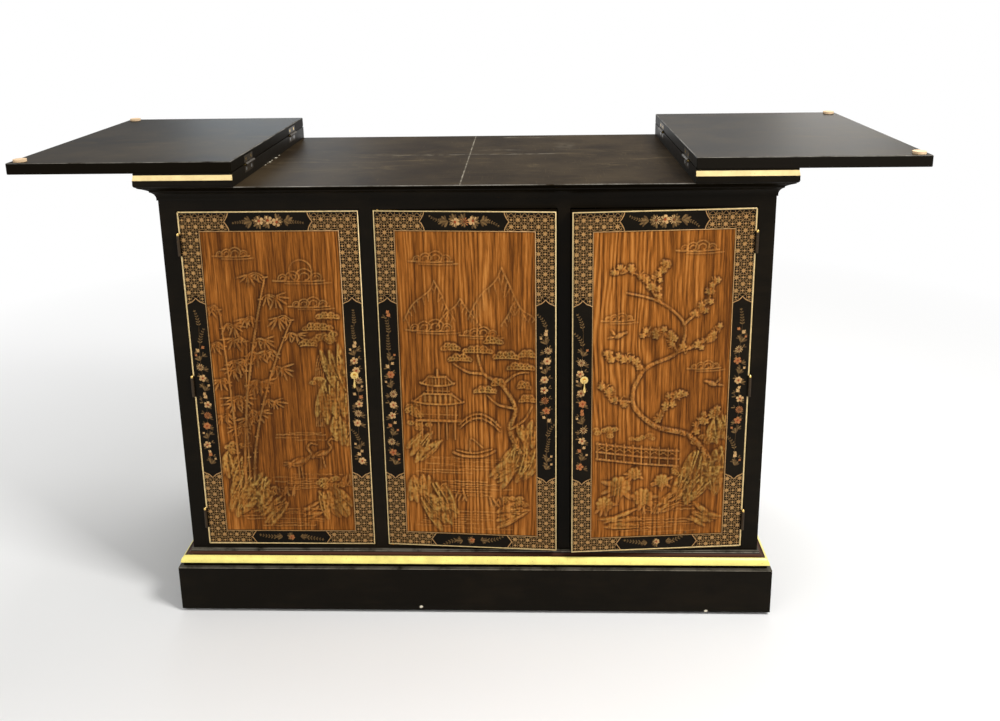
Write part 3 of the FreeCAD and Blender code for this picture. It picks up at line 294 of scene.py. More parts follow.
def rubbed_top(name, node, base, scuffed, shine, seam=None, chips=(), scuffs=()):
    """Satin lacquer of a top, rubbed brown grey, with scratches, dull places and pale upper edges that are
    painted highlights.

    It may have a seam at an x, chips, and scuffs that run from one x to another at a y, so wide.
    """
    f = Finish(name)
    cloud = f.noise(3.6, 5.0, 0.62)
    small = f.noise(15.0, 4.0, 0.6)
    across = f.noise(420.0, 2.0, at=f.stretched(0.05, 1.0, 1.0))
    along = f.noise(380.0, 2.0, at=f.stretched(1.0, 0.05, 1.0, (3.0, 1.0, 0.0)))
    scratch = (across.within(0.62, 0.75) + along.within(0.64, 0.77)) * 0.5
    patch = f.noise(16.0, 8.0, 0.75, 0.9, at=f.stretched(0.5, 1.6, 1.0)).within(0.52, 0.64)
    apart = f.axes()
    middle = (1 - abs(apart.out("Y") + 0.02) / 0.13).within(0.0, 0.8)
    dull = (cloud * 0.7 + small * 0.3).within(0.42, 0.64)
    wear = (patch * scuffed * (0.15 + middle * 0.5) + scratch * 0.45 + dull * 0.2).within(0.0, 1.0)
    body = f.ramp(cloud, (0.25, base), (0.75, scaled(base, 1.6)))
    worn = f.mix(wear * 0.6, body, tone(120, 104, 78))
    wander = f.noise(60.0, 3.0)
    drift = (f.noise(9.0, 4.0) - 0.5) * 0.05
    for start, end, y, half in scuffs:
        run = apart.within(start, start + 0.05) * (1 - apart.within(end - 0.05, end))
        rub = (1 - abs(apart.out("Y") + drift - y) / half).within(0.0, 1.0)
        worn = f.mix(run * rub * wander.within(0.36, 0.62) * 0.3, worn, RUB_AND_HIGHLIGHT_PALE)
    if seam is not None:
        gap = 1 - (abs(apart - seam + (wander - 0.5) * 0.0014) / 0.0016).within(0.35, 1.0)
        worn = f.mix(gap * (0.14 + wander.within(0.4, 0.65) * 0.4), worn, RUB_AND_HIGHLIGHT_PALE)
    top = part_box(node)[1][2]
    worn = f.mix(apart.out("Z").within(top - 0.0016, top - 0.0004), BLACK, worn)
    for chip in chips:
        worn = f.mix(f.spot(*chip), worn, CHIPPED)
    dust = f.noise(1300.0, 2.0)
    # The pale grey along the upper edges is a painted highlight.
    return f.done(
        Base_Color=f.mix(f.highlight_edges(node) * 0.8, worn, tone(160, 156, 146)),
        Roughness=0.42 + wear * 0.1 + dust * 0.06,
        Specular_IOR_Level=shine,
        Normal=f.bump(scratch + dust * 0.3, 0.1, 0.0001),
    )


def gold_paint(name, colour, worn, metal=0.25, dull=0.42):
    """Hand laid gold paint, a little uneven, worn through to the black in places."""
    f = Finish(name)
    hand = f.noise(260.0, 3.0)
    cloud = f.noise(18.0, 3.0)
    gone = (hand * 0.6 + cloud * 0.4).within(0.58, 0.72)
    body = f.mix(hand.within(0.3, 0.7), scaled(colour, 0.62), colour)
    return f.done(
        Base_Color=f.mix(gone * worn, body, BLACK_RUBBED),
        Metallic=metal * (1 - gone * worn),
        Roughness=dull + gone * 0.15,
        Normal=f.bump(hand, 0.2, 0.0002),
    )


def spray_paint(name):
    """The flowers' body colour: each stroke has its own, deeper towards its root."""
    f = Finish(name)
    colour = f.node("ShaderNodeAttribute", attribute_name="paint")
    along = f.node("ShaderNodeAttribute", out="Fac", attribute_name="along")
    hand = f.noise(500.0, 3.0)
    root = (1 - along).within(0.42, 0.95) * colour.out("Alpha")
    body = f.mix(root * 0.75, colour.out("Color"), tone(168, 82, 44))
    return f.done(
        Base_Color=f.mix(hand.within(0.55, 0.8) * 0.35, body, tone(70, 52, 34)),
        Roughness=0.5 + hand * 0.1,
        Specular_IOR_Level=0.15,
        Normal=f.bump(hand, 0.25, 0.0002),
    )


def carved_wood(name, shift):
    """Warm straight grained veneer with its relief: dark painted shade in the cuts, olive gold and a painted
    highlight on the high places.
    """
    f = Finish(name)
    slow = f.noise(8.0, 3.0, at=f.stretched(1.0, 1.0, 0.16, (shift, 0.0, 0.0)))
    sway = f.noise(24.0, 3.0, at=f.stretched(1.0, 1.0, 0.4, (shift, 2.0, 0.0)))
    rings = ((f.axes() + slow * 0.11 + sway * 0.008) * 760.0).wave() * 0.5 + 0.5
    broad = f.noise(90.0, 2.0, at=f.stretched(1.0, 1.0, 0.06, (shift, 1.0, 0.0)))
    streak = f.noise(300.0, 4.0, 0.66, at=f.stretched(1.0, 1.0, 0.03, (shift, 0.0, 0.0)))
    pore = f.noise(900.0, 3.0, 0.6, at=f.stretched(1.0, 1.0, 0.045, (0.0, shift, 0.0)))
    grain = rings * (slow.within(0.35, 0.7) * 0.2) + broad * 0.24 + streak * 0.46 + pore * 0.24
    wood = f.ramp(
        grain,
        (0.4, tone(78, 41, 9)),
        (0.475, tone(114, 65, 18)),
        (0.55, tone(149, 88, 30)),
        (0.65, tone(184, 120, 54)),
    )
    parts = f.node("ShaderNodeSeparateColor", {0: f.node("ShaderNodeAttribute", attribute_name="carve")})
    # Red is how deep a spot lies below its neighbours, for painted shade; green is how high it stands, for a
    # painted highlight.
    deep, high = parts.out("Red"), parts.out("Green")
    leaf = parts.out("Blue").within(0.44, 0.62)
    # This noise breaks up the gilt, the painted shade and the painted highlight alike.
    worn = f.noise(42.0, 4.0, 0.65).within(0.4, 0.62)
    gilded = f.mix(leaf * (0.14 + high * 0.3) * (0.3 + worn), wood, tone(164, 138, 66))
    # Painted shade: darker where the relief is cut deep.
    shaded = f.mix(deep * (0.5 + worn * 0.3), gilded, tone(48, 24, 6))
    # The lighter tan on the high places is a painted highlight.
    return f.done(
        Base_Color=f.mix(high * (0.08 + worn * 0.2), shaded, tone(216, 164, 92)),
        Roughness=0.5 - high * 0.1 + pore * 0.08,
        Specular_IOR_Level=0.08,
        Normal=f.bump(streak + pore * 0.5, 0.25, 0.0004),
    )


def gilt(name, colour, metal, dull):
    """Burnished gold leaf or brass, slightly uneven, with small tarnished specks."""
    f = Finish(name)
    hand = f.noise(40.0, 4.0)
    speck = f.noise(420.0, 2.0).within(0.66, 0.74)
    body = f.mix(hand.within(0.35, 0.7), colour, scaled(colour, 0.78))
    return f.done(
        Base_Color=f.mix(speck * 0.6, body, tone(120, 90, 40)),
        Metallic=metal,
        Roughness=dull + hand * 0.12 + speck * 0.2,
        Normal=f.bump(hand, 0.08, 0.0003),
    )


def plated_steel(name):
    f = Finish(name)
    brushed = f.noise(900.0, 2.0, at=f.stretched(1.0, 1.0, 0.1))
    cloud = f.noise(60.0, 3.0)
    return f.done(
        Base_Color=f.ramp(cloud, (0.3, tone(176, 178, 180)), (0.7, tone(206, 207, 205))),
        Metallic=1.0,
        Roughness=0.32 + brushed * 0.12,
    )


def caster_rubber(name):
    f = Finish(name)
    dust = f.noise(120.0, 3.0)
    return f.done(
        Base_Color=f.mix(dust.within(0.5, 0.8) * 0.6, tone(38, 38, 38), tone(88, 84, 78)),
        Roughness=0.62 + dust * 0.15,
        Normal=f.bump(dust, 0.15, 0.0003),
    )


def felt(name):
    f = Finish(name)
    nap = f.noise(1500.0, 4.0, 0.7)
    return f.done(
        Base_Color=f.mix(nap, tone(206, 170, 128), tone(236, 208, 170)),
        Roughness=0.95,
        Normal=f.bump(nap, 0.5, 0.0006),
    )


LACQUER = black_lacquer("black_lacquer")
SIDE_LACQUER = black_lacquer("side_and_back_lacquer", dull=0.3, shine=0.2)
DOOR_LACQUER = black_lacquer("door_ground_lacquer", dull=0.38)
# The levels of the base moulding and the plinth are painted highlight lines along their edges.
BASE_LACQUER = black_lacquer("base_moulding_lacquer", levels=(0.1215, 0.1184), warm=0.1156)
PLINTH_LACQUER = black_lacquer(
    "plinth_lacquer",
    levels=(0.0935,),
    chips=((-0.098, -0.249, 0.013, 0.0042), (0.436, -0.249, 0.008, 0.0042)),
)
INNER = inner_wood("inner_dark_paint")
TOP = rubbed_top(
    "worktop_rubbed_lacquer",
    "worktop",
    tone(30, 22, 12),
    0.66,
    0.009,
    seam=-0.005,
    chips=[
        (-0.3884, y, 0.8285, size)
        for y, size in (
            (-0.058, 0.003), (-0.041, 0.002), (-0.029, 0.005),
            (-0.012, 0.003), (0.014, 0.006), (0.041, 0.003),
        )
    ],
    scuffs=[
        (-0.2, 0.19, 0.03, 0.005), (0.0, 0.12, 0.075, 0.004),
        (0.02, 0.17, 0.225, 0.006), (0.16, 0.21, 0.12, 0.06),
    ],
)
# Both leaves have one lacquer, but the right one has a slightly lighter base and much more shine: painted
# sheen, as if it were more lit.
LEFT_LEAF = rubbed_top("left_leaf_rubbed_lacquer", "left_leaf", tone(22, 18, 12), 0.3, 0.022)
RIGHT_LEAF = rubbed_top("right_leaf_rubbed_lacquer", "right_leaf", tone(24, 20, 14), 0.3, 0.075)
GILT_BAND = gilt("gilt_band", tone(255, 238, 132), 0.12, 0.32)
BRASS_BAND = gilt("brass_band", tone(240, 212, 148), 0.2, 0.3)
BRASS = gilt("polished_brass", tone(240, 206, 128), 1.0, 0.2)
# The door hinges get a dark brass that stands for the shade on their barrels: painted shade.
HINGE_BRASS = gilt("darkened_brass", tone(58, 44, 26), 0.6, 0.42)
LEAF_BRASS = gilt("leaf_hinge_brass", tone(54, 44, 28), 0.6, 0.36)
STEEL = plated_steel("zinc_plated_steel")
RUBBER = caster_rubber("caster_rubber")
FELT = felt("felt_pads")
LATTICE = gold_paint("lattice_gold", LATTICE_GOLD, 0.5)
EDGE_LINE = gold_paint("door_edge_line", CREAM_GOLD, 0.12, 0.15, 0.4)
TAN_LINE = gold_paint("panel_and_cartouche_line", TAN_GOLD, 0.25, 0.2, 0.42)
SPRAY = spray_paint("flower_sprays")
WOOD = {name: carved_wood(f"{name}_carved_veneer", 1.7 * k) for k, name in enumerate(DOORS)}

# The CAD nodes that have another finish than LACQUER, as patterns of their names.
FINISHES = {
    INNER: "bottom_panel sub_top shelves caster_rails",
    SIDE_LACQUER: "left_side right_side back_panel",
    TOP: "worktop",
    LEFT_LEAF: "left_leaf",
    RIGHT_LEAF: "right_leaf",
    BASE_LACQUER: "base_moulding",
    PLINTH_LACQUER: "plinth_*",
    GILT_BAND: "gilt_band",
    BRASS_BAND: "brass_bands",
    BRASS: "*_pull_* hinge_pins ball_catches shelf_pins *_leaf_screws knife_hinge_*",
    LEAF_BRASS: "*_leaf_hinge_plates leaf_hinge_end_plates",
    HINGE_BRASS: "*_door_hinge_plates door_hinge_stile_plates",
    STEEL: "caster_plates carcass_screws caster_fork_*",
    RUBBER: "caster_wheel_*",
    FELT: "*_leaf_pads",
    DOOR_LACQUER: "*_door",
}


def dress_nodes():
    patterns = [(pattern, finish) for finish, names in FINISHES.items() for pattern in names.split()]
    for name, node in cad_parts.items():
        finish = next((finish for pattern, finish in patterns if fnmatch(name, pattern)), LACQUER)
        for slot in node.material_slots:
            slot.material = finish
        if not node.material_slots:
            node.data.materials.append(finish)


# Trees that repeat a small shape or follow a line.
SOLID = {"Thick": "Float", "Finish": "Material"}


def new_tree(name, **inputs):
    tree = bpy.data.node_groups.new(name, "GeometryNodeTree")
    tree.interface.new_socket(name="Geometry", in_out="INPUT", socket_type="NodeSocketGeometry")
    for label, kind in inputs.items():
        tree.interface.new_socket(name=label, in_out="INPUT", socket_type=f"NodeSocket{kind}")
    tree.interface.new_socket(name="Geometry", in_out="OUTPUT", socket_type="NodeSocketGeometry")
    net = Net(tree)
    return net, net.node("NodeGroupInput")


def close_tree(net, shape, finish):
    whole = net.node("GeometryNodeRealizeInstances", {"Geometry": shape})
    painted = net.node("GeometryNodeSetMaterial", {"Geometry": whole, "Material": finish})
    net.node("NodeGroupOutput", {"Geometry": painted})
    return net.tree


def drawn_along(net, line, profile):
    return net.node("GeometryNodeCurveToMesh", {"Curve": line, "Profile Curve": profile, "Fill Caps": True})


def star_tree():
    """A flat star or disc on each point, as large as the point's own size."""
    net, given = new_tree("star_on_points", Rays="Int", Outer="Float", Inner="Float", **SOLID)
    up = net.node("ShaderNodeCombineXYZ", {"Z": given.out("Thick")})
    stem = net.node("GeometryNodeCurvePrimitiveLine", {"End": up})
    star = net.node(
        "GeometryNodeCurveStar",
        {"Points": given.out("Rays"), "Inner Radius": given.out("Inner"), "Outer Radius": given.out("Outer")},
    )
    size = net.stored("size")
    wide = net.node("ShaderNodeCombineXYZ", {"X": size, "Y": size, "Z": 1.0})
    prism = {"Points": given, "Instance": drawn_along(net, stem, star), "Scale": wide}
    return close_tree(net, net.node("GeometryNodeInstanceOnPoints", prism), given.out("Finish"))


def ribbon_tree():
    """A flat ribbon along every chain of edges."""
    net, given = new_tree("ribbon_on_lines", Wide="Float", **SOLID)
    run = net.node("GeometryNodeMeshToCurve", {"Mesh": given})
    level = net.node("GeometryNodeSetCurveNormal", {"Curve": run}, mode="Z_UP")
    sides = {"Width": given.out("Wide"), "Height": given.out("Thick")}
    strip = net.node("GeometryNodeCurvePrimitiveQuadrilateral", sides)
    return close_tree(net, drawn_along(net, level, strip), given.out("Finish"))


def stroke_tree():
    """A brush stroke on each point: a low tear drop, turned, long and wide as the point says."""
    net, given = new_tree("strokes_on_points", Sides="Int", **SOLID)
    sizes = {"Vertices": given.out("Sides"), "Depth": given.out("Thick")}
    cone = net.node("GeometryNodeMeshCone", {"Radius Bottom": 1.0, "Radius Top": 0.0, **sizes})
    where = net.node("ShaderNodeSeparateXYZ", {0: net.node("GeometryNodeInputPosition")})
    along = where * 0.5 + 0.5
    side = where.out("Y") * 0.5 * (0.5 + along * 0.5)
    spot = net.node("ShaderNodeCombineXYZ", {"X": along, "Y": side, "Z": where.out("Z")})
    drop = net.node("GeometryNodeSetPosition", {"Geometry": cone, "Position": spot})
    marked = net.node(
        "GeometryNodeStoreNamedAttribute",
        {"Geometry": drop, "Name": "along", "Value": along},
        data_type="FLOAT",
        domain="POINT",
    )
    turn = net.node("ShaderNodeCombineXYZ", {"Z": net.stored("turn")})
    size = net.node("ShaderNodeCombineXYZ", {"X": net.stored("long"), "Y": net.stored("wide"), "Z": 1.0})
    strokes = {"Points": given, "Instance": marked, "Rotation": turn, "Scale": size}
    return close_tree(net, net.node("GeometryNodeInstanceOnPoints", strokes), given.out("Finish"))


STARS = star_tree()
RIBBONS = ribbon_tree()
STROKES = stroke_tree()


def placed(name, data):
    """A new object in the scene."""
    thing = bpy.data.objects.new(name, data)
    bpy.context.scene.collection.objects.link(thing)
    return thing


def grown(mesh, tree, **sizes):
    """What a tree makes of a mesh, as a plain mesh."""
    holder = placed("holder", mesh)
    modifier = holder.modifiers.new("tree", "NODES")
    modifier.node_group = tree
    for item in tree.interface.items_tree:
        if item.in_out == "INPUT" and item.name in sizes:
            modifier[item.identifier] = sizes[item.name]
    holder.update_tag()
    drawn = bpy.context.evaluated_depsgraph_get()
    result = bpy.data.meshes.new_from_object(holder.evaluated_get(drawn), depsgraph=drawn)
    bpy.data.objects.remove(holder)
    bpy.data.meshes.remove(mesh)
    return result


def store(mesh, name, values):
    """Gives each vertex a number, or a colour if there are four values for each."""
    values = np.array(values, np.float32)
    kind, field = ("FLOAT_COLOR", "color") if values.ndim > 1 else ("FLOAT", "value")
    mesh.attributes.new(name, kind, "POINT").data.foreach_set(field, values.ravel())


def points_mesh(points, **values):
    mesh = bpy.data.meshes.new("points")
    mesh.from_pydata([(u, w, 0.0) for u, w in points], [], [])
    for name, numbers in values.items():
        store(mesh, name, numbers)
    return mesh


def lines_mesh(runs):
    mesh = bpy.data.meshes.new("lines")
    spots = []
    edges = []
    for run in runs:
        start = len(spots)
        closed = run[0] == run[-1]
        spots += [(u, w, 0.0) for u, w in (run[:-1] if closed else run)]
        last = len(spots) - 1
        edges += [(i, i + 1) for i in range(start, last)]
        if closed:
            edges.append((last, start))
    mesh.from_pydata(spots, edges, [])
    return mesh


def hang(mesh, door, lift):
    """Moves a flat drawing, or a panel, on to its door as the door stands at rest."""
    turn, pin_x, pin_y = AJAR[door]
    co = np.empty(len(mesh.vertices) * 3, np.float32)
    mesh.vertices.foreach_get("co", co)
    flat = co.reshape(-1, 3).astype(float)
    x = (DOORS.index(door) - 1) * DOOR_PITCH - DOOR_WIDE / 2 + flat[:, 0] - pin_x
    y = DOOR_FACE - flat[:, 2] - lift - pin_y
    angle = math.radians(turn)
    room = np.empty_like(flat)
    room[:, 0] = pin_x + x * math.cos(angle) - y * math.sin(angle)
    room[:, 1] = pin_y + x * math.sin(angle) + y * math.cos(angle)
    room[:, 2] = DOOR_FOOT + flat[:, 1]
    mesh.vertices.foreach_set("co", (room / 1000).astype(np.float32).ravel())
    mesh.update()


def show(name, mesh, body):
    """A piece that rides on a body."""
    piece = placed(name, mesh)
    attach(piece, body)
    return piece


def paint_on(door, name, layers, lift):
    """Joins what is painted on a door into one piece."""
    holders = [placed(name, mesh) for mesh in layers]
    first = holders[0]
    with bpy.context.temp_override(
        active_object=first, selected_editable_objects=holders, object=first, selected_objects=holders
    ):
        bpy.ops.object.join()
    mesh = first.data
    bpy.data.objects.remove(first)
    hang(mesh, door, lift)
    show(f"{door}_{name}", mesh, f"{door}_door")


# The painted border of a door.
STAR_SIDE = 7.8
STAR_COLUMNS = 26
STAR_ROWS = 53
STAR_STEP_U = (DOOR_WIDE - 2 * STAR_SIDE) / STAR_COLUMNS
STAR_STEP_W = 12.05
STAR_TOP = DOOR_TALL - 15.5
STAR_ROOM = 2.6
LOZENGE_ROOM = 1.2
RING = 7.7
# Where the lattice stops: this far from the door's edge, and this far over the edge of the panel.
LATTICE_EDGE = 2.4
LATTICE_INNER = 1.6
EDGE_INSET = 1.3
LINE_OUTSIDE_PANEL = 0.9
# The straight parts of the cartouches: how long those at the ends are, and from where to where those
# at the sides run.
END_CARTOUCHES = {"top": 139.0, "foot": 133.0}
SIDE_CARTOUCHE = (150.0, 480.0)
# The cartouches' lines keep clear of the door's edge and of the line round the panel.
CLEAR_OUTSIDE = 2.2
CLEAR_INSIDE = 1.4
CLEAR_BOTH = CLEAR_OUTSIDE + CLEAR_INSIDE


def cartouche_end(kind, across):
    """How far a cartouche's end reaches out, at -1 to 1 across the border."""
    inward = 1 - abs(across)
    if kind == "top":
        return 8.0 * inward**1.7
    if kind == "foot":
        return 8.5 * inward
    return 3.0 * min(1.0, 3.0 * inward) + 8.5 * max(0.0, inward - 0.35) ** 1.6 / 0.65**1.6


def in_cartouche(u, w, more):
    side = min(u, DOOR_WIDE - u)
    if side <= PANEL_SIDE:
        reach = cartouche_end("side", (side - PANEL_SIDE / 2) / (PANEL_SIDE / 2)) + more
        if SIDE_CARTOUCHE[0] - reach <= w <= SIDE_CARTOUCHE[1] + reach:
            return True
    for kind, low, deep in (("top", DOOR_TALL - PANEL_TOP, PANEL_TOP), ("foot", 0.0, PANEL_FOOT)):
        if low <= w <= low + deep:
            reach = cartouche_end(kind, (w - low - deep / 2) / (deep / 2)) + more
            if abs(u - DOOR_WIDE / 2) <= END_CARTOUCHES[kind] / 2 + reach:
                return True
    return False


def in_lattice(u, w, more=0.0):
    """Whether a spot is on the latticed part of the border."""
    edge = LATTICE_EDGE + more
    if not (edge <= u <= DOOR_WIDE - edge and edge <= w <= DOOR_TALL - edge):
        return False
    inner = LATTICE_INNER + more
    over = PANEL_SIDE - inner < u < DOOR_WIDE - PANEL_SIDE + inner
    if over and PANEL_FOOT - inner < w < DOOR_TALL - PANEL_TOP + inner:
        return False
    return not in_cartouche(u, w, more)


def kept_runs(points, keep):
    """The stretches of a line whose spots are all kept."""
    runs = []
    now = []
    for spot in points:
        if keep(*spot):
            now.append(spot)
        else:
            if len(now) > 1:
                runs.append(now)
            now = []
    if len(now) > 1:
        runs.append(now)
    return runs


def arc(u, w, radius, start, end, steps):
    return [
        (u + radius * math.cos(a), w + radius * math.sin(a))
        for a in (start + (end - start) * i / steps for i in range(steps + 1))
    ]


def straight(first, last, steps):
    (u0, w0), (u1, w1) = first, last
    return [(u0 + (u1 - u0) * i / steps, w0 + (w1 - w0) * i / steps) for i in range(steps + 1)]


def lattice(door):
    """Stars in rings, tied by slanting links, with a small lozenge between each four."""
    stars, lozenges, rings, links = [], [], [], []
    for i in range(-1, STAR_COLUMNS + 2):
        for j in range(-1, STAR_ROWS + 2):
            u = STAR_SIDE + i * STAR_STEP_U
            w = STAR_TOP - j * STAR_STEP_W
            if (i + j) % 2 == 0:
                if in_lattice(u, w, LOZENGE_ROOM):
                    lozenges.append((u, w))
                continue
            if in_lattice(u, w, STAR_ROOM):
                stars.append((u, w))
            rings += kept_runs(arc(u, w, RING, 0.0, TURN, 16), in_lattice)
            for way in (1, -1):
                far = (u + way * STAR_STEP_U, w + STAR_STEP_W)
                links += kept_runs(straight((u, w), far, 6), in_lattice)
    stars, lozenges = (points_mesh(spots, size=[1.0] * len(spots)) for spots in (stars, lozenges))
    layers = [
        grown(stars, STARS, Thick=0.22, Rays=8, Outer=7.0, Inner=2.3, Finish=LATTICE),
        grown(lozenges, STARS, Thick=0.2, Rays=4, Outer=3.3, Inner=1.5, Finish=LATTICE),
        grown(lines_mesh(rings), RIBBONS, Wide=0.62, Thick=0.3, Finish=LATTICE),
        grown(lines_mesh(links), RIBBONS, Wide=0.46, Thick=0.26, Finish=LATTICE),
    ]
    paint_on(door, "lattice", layers, PAINT_LIFT)


def cartouche_lines():
    """The curved ends of the cartouches."""
    steps = 16
    ends = []
    top = DOOR_TALL - PANEL_TOP + CLEAR_INSIDE
    for kind, low, deep in (("top", top, PANEL_TOP), ("foot", CLEAR_OUTSIDE, PANEL_FOOT)):
        for side in (-1, 1):
            ends.append((kind, side, DOOR_WIDE / 2, END_CARTOUCHES[kind] / 2, low, deep - CLEAR_BOTH))
    for left in (CLEAR_OUTSIDE, DOOR_WIDE - PANEL_SIDE + CLEAR_INSIDE):
        for side, level in ((-1, SIDE_CARTOUCHE[0]), (1, SIDE_CARTOUCHE[1])):
            ends.append(("side", side, level, 0.0, left, PANEL_SIDE - CLEAR_BOTH))
    runs = []
    for kind, side, middle, half, low, deep in ends:
        run = [
            (middle + side * (half + cartouche_end(kind, 2 * i / steps - 1)), low + deep * i / steps)
            for i in range(steps + 1)
        ]
        runs.append([(w, u) for u, w in run] if kind == "side" else run)
    return runs


def edge_lines(door):
    """The line round the door, which stops at the hinges."""
    side = HINGE_SIDE[door]
    low, high = EDGE_INSET, DOOR_TALL - EDGE_INSET
    near, far = EDGE_INSET, DOOR_WIDE - EDGE_INSET
    if side is None:
        return [[(near, low), (near, high), (far, high), (far, low), (near, low)]]
    hinged, free = (near, far) if side == 0 else (far, near)
    marks = [low, *(level + half for level in HINGE_LEVELS for half in (-HINGE_HALF, HINGE_HALF)), high]
    runs = [[(hinged, marks[i]), (hinged, marks[i + 1])] for i in range(0, len(marks), 2)]
    return [[(hinged, low), (free, low), (free, high), (hinged, high)], *runs]


def border_lines(door):
    left, right = PANEL_SIDE - LINE_OUTSIDE_PANEL, DOOR_WIDE - PANEL_SIDE + LINE_OUTSIDE_PANEL
    foot, top = PANEL_FOOT - LINE_OUTSIDE_PANEL, DOOR_TALL - PANEL_TOP + LINE_OUTSIDE_PANEL
    inner = [(left, foot), (left, top), (right, top), (right, foot), (left, foot)]
    layers = [
        grown(lines_mesh(edge_lines(door)), RIBBONS, Wide=2.5, Thick=0.36, Finish=EDGE_LINE),
        grown(lines_mesh([inner]), RIBBONS, Wide=1.8, Thick=0.34, Finish=TAN_LINE),
        grown(lines_mesh(cartouche_lines()), RIBBONS, Wide=1.4, Thick=0.4, Finish=TAN_LINE),
    ]
    paint_on(door, "border_lines", layers, LINE_LIFT)


# The room that a side cartouche's spray leaves at its foot and top.
ROOM_BELOW = 14
ROOM_ABOVE = 12
# How large the strokes are beside the spaces between them.
STROKE_SIZE = 0.82
# How much of a side cartouche each kind of item takes: flower, daisy, bud, leaves, fern sprig.
WEIGHTS = {"f": 19.0, "d": 19.0, "b": 13.0, "l": 15.0, "s": 30.0}
# What else grows where: an item, or a count of leaves; how far aside by the side it is on and by the
# stem's sway; how far up; its size; and how far it leans.
BESIDE_FLOWER = ((3, -3, 0.0, -5, 12.0, 1.35), (2, 4, 0.0, 4, 10.0, -1.1))
GROWTH = {
    "f": BESIDE_FLOWER,
    "d": BESIDE_FLOWER,
    "b": (("b", 0, 1.0, -5, 12.0, 0.7), ("b", 0, -0.8, 2, 9.5, -0.9), (2, -5, 0.0, -6, 9.0, 1.2)),
    "l": ((4, 0, 0.4, -6, 15.5, 0.45), (3, 0, -0.6, 2, 12.0, -0.9), ("b", -7, 0.0, 3, 7.5, 0.8)),
}


def around(turn, count, shift=0.0):
    """Angles evenly spaced round a full turn."""
    return [turn + TURN * (i + shift) / count for i in range(count)]


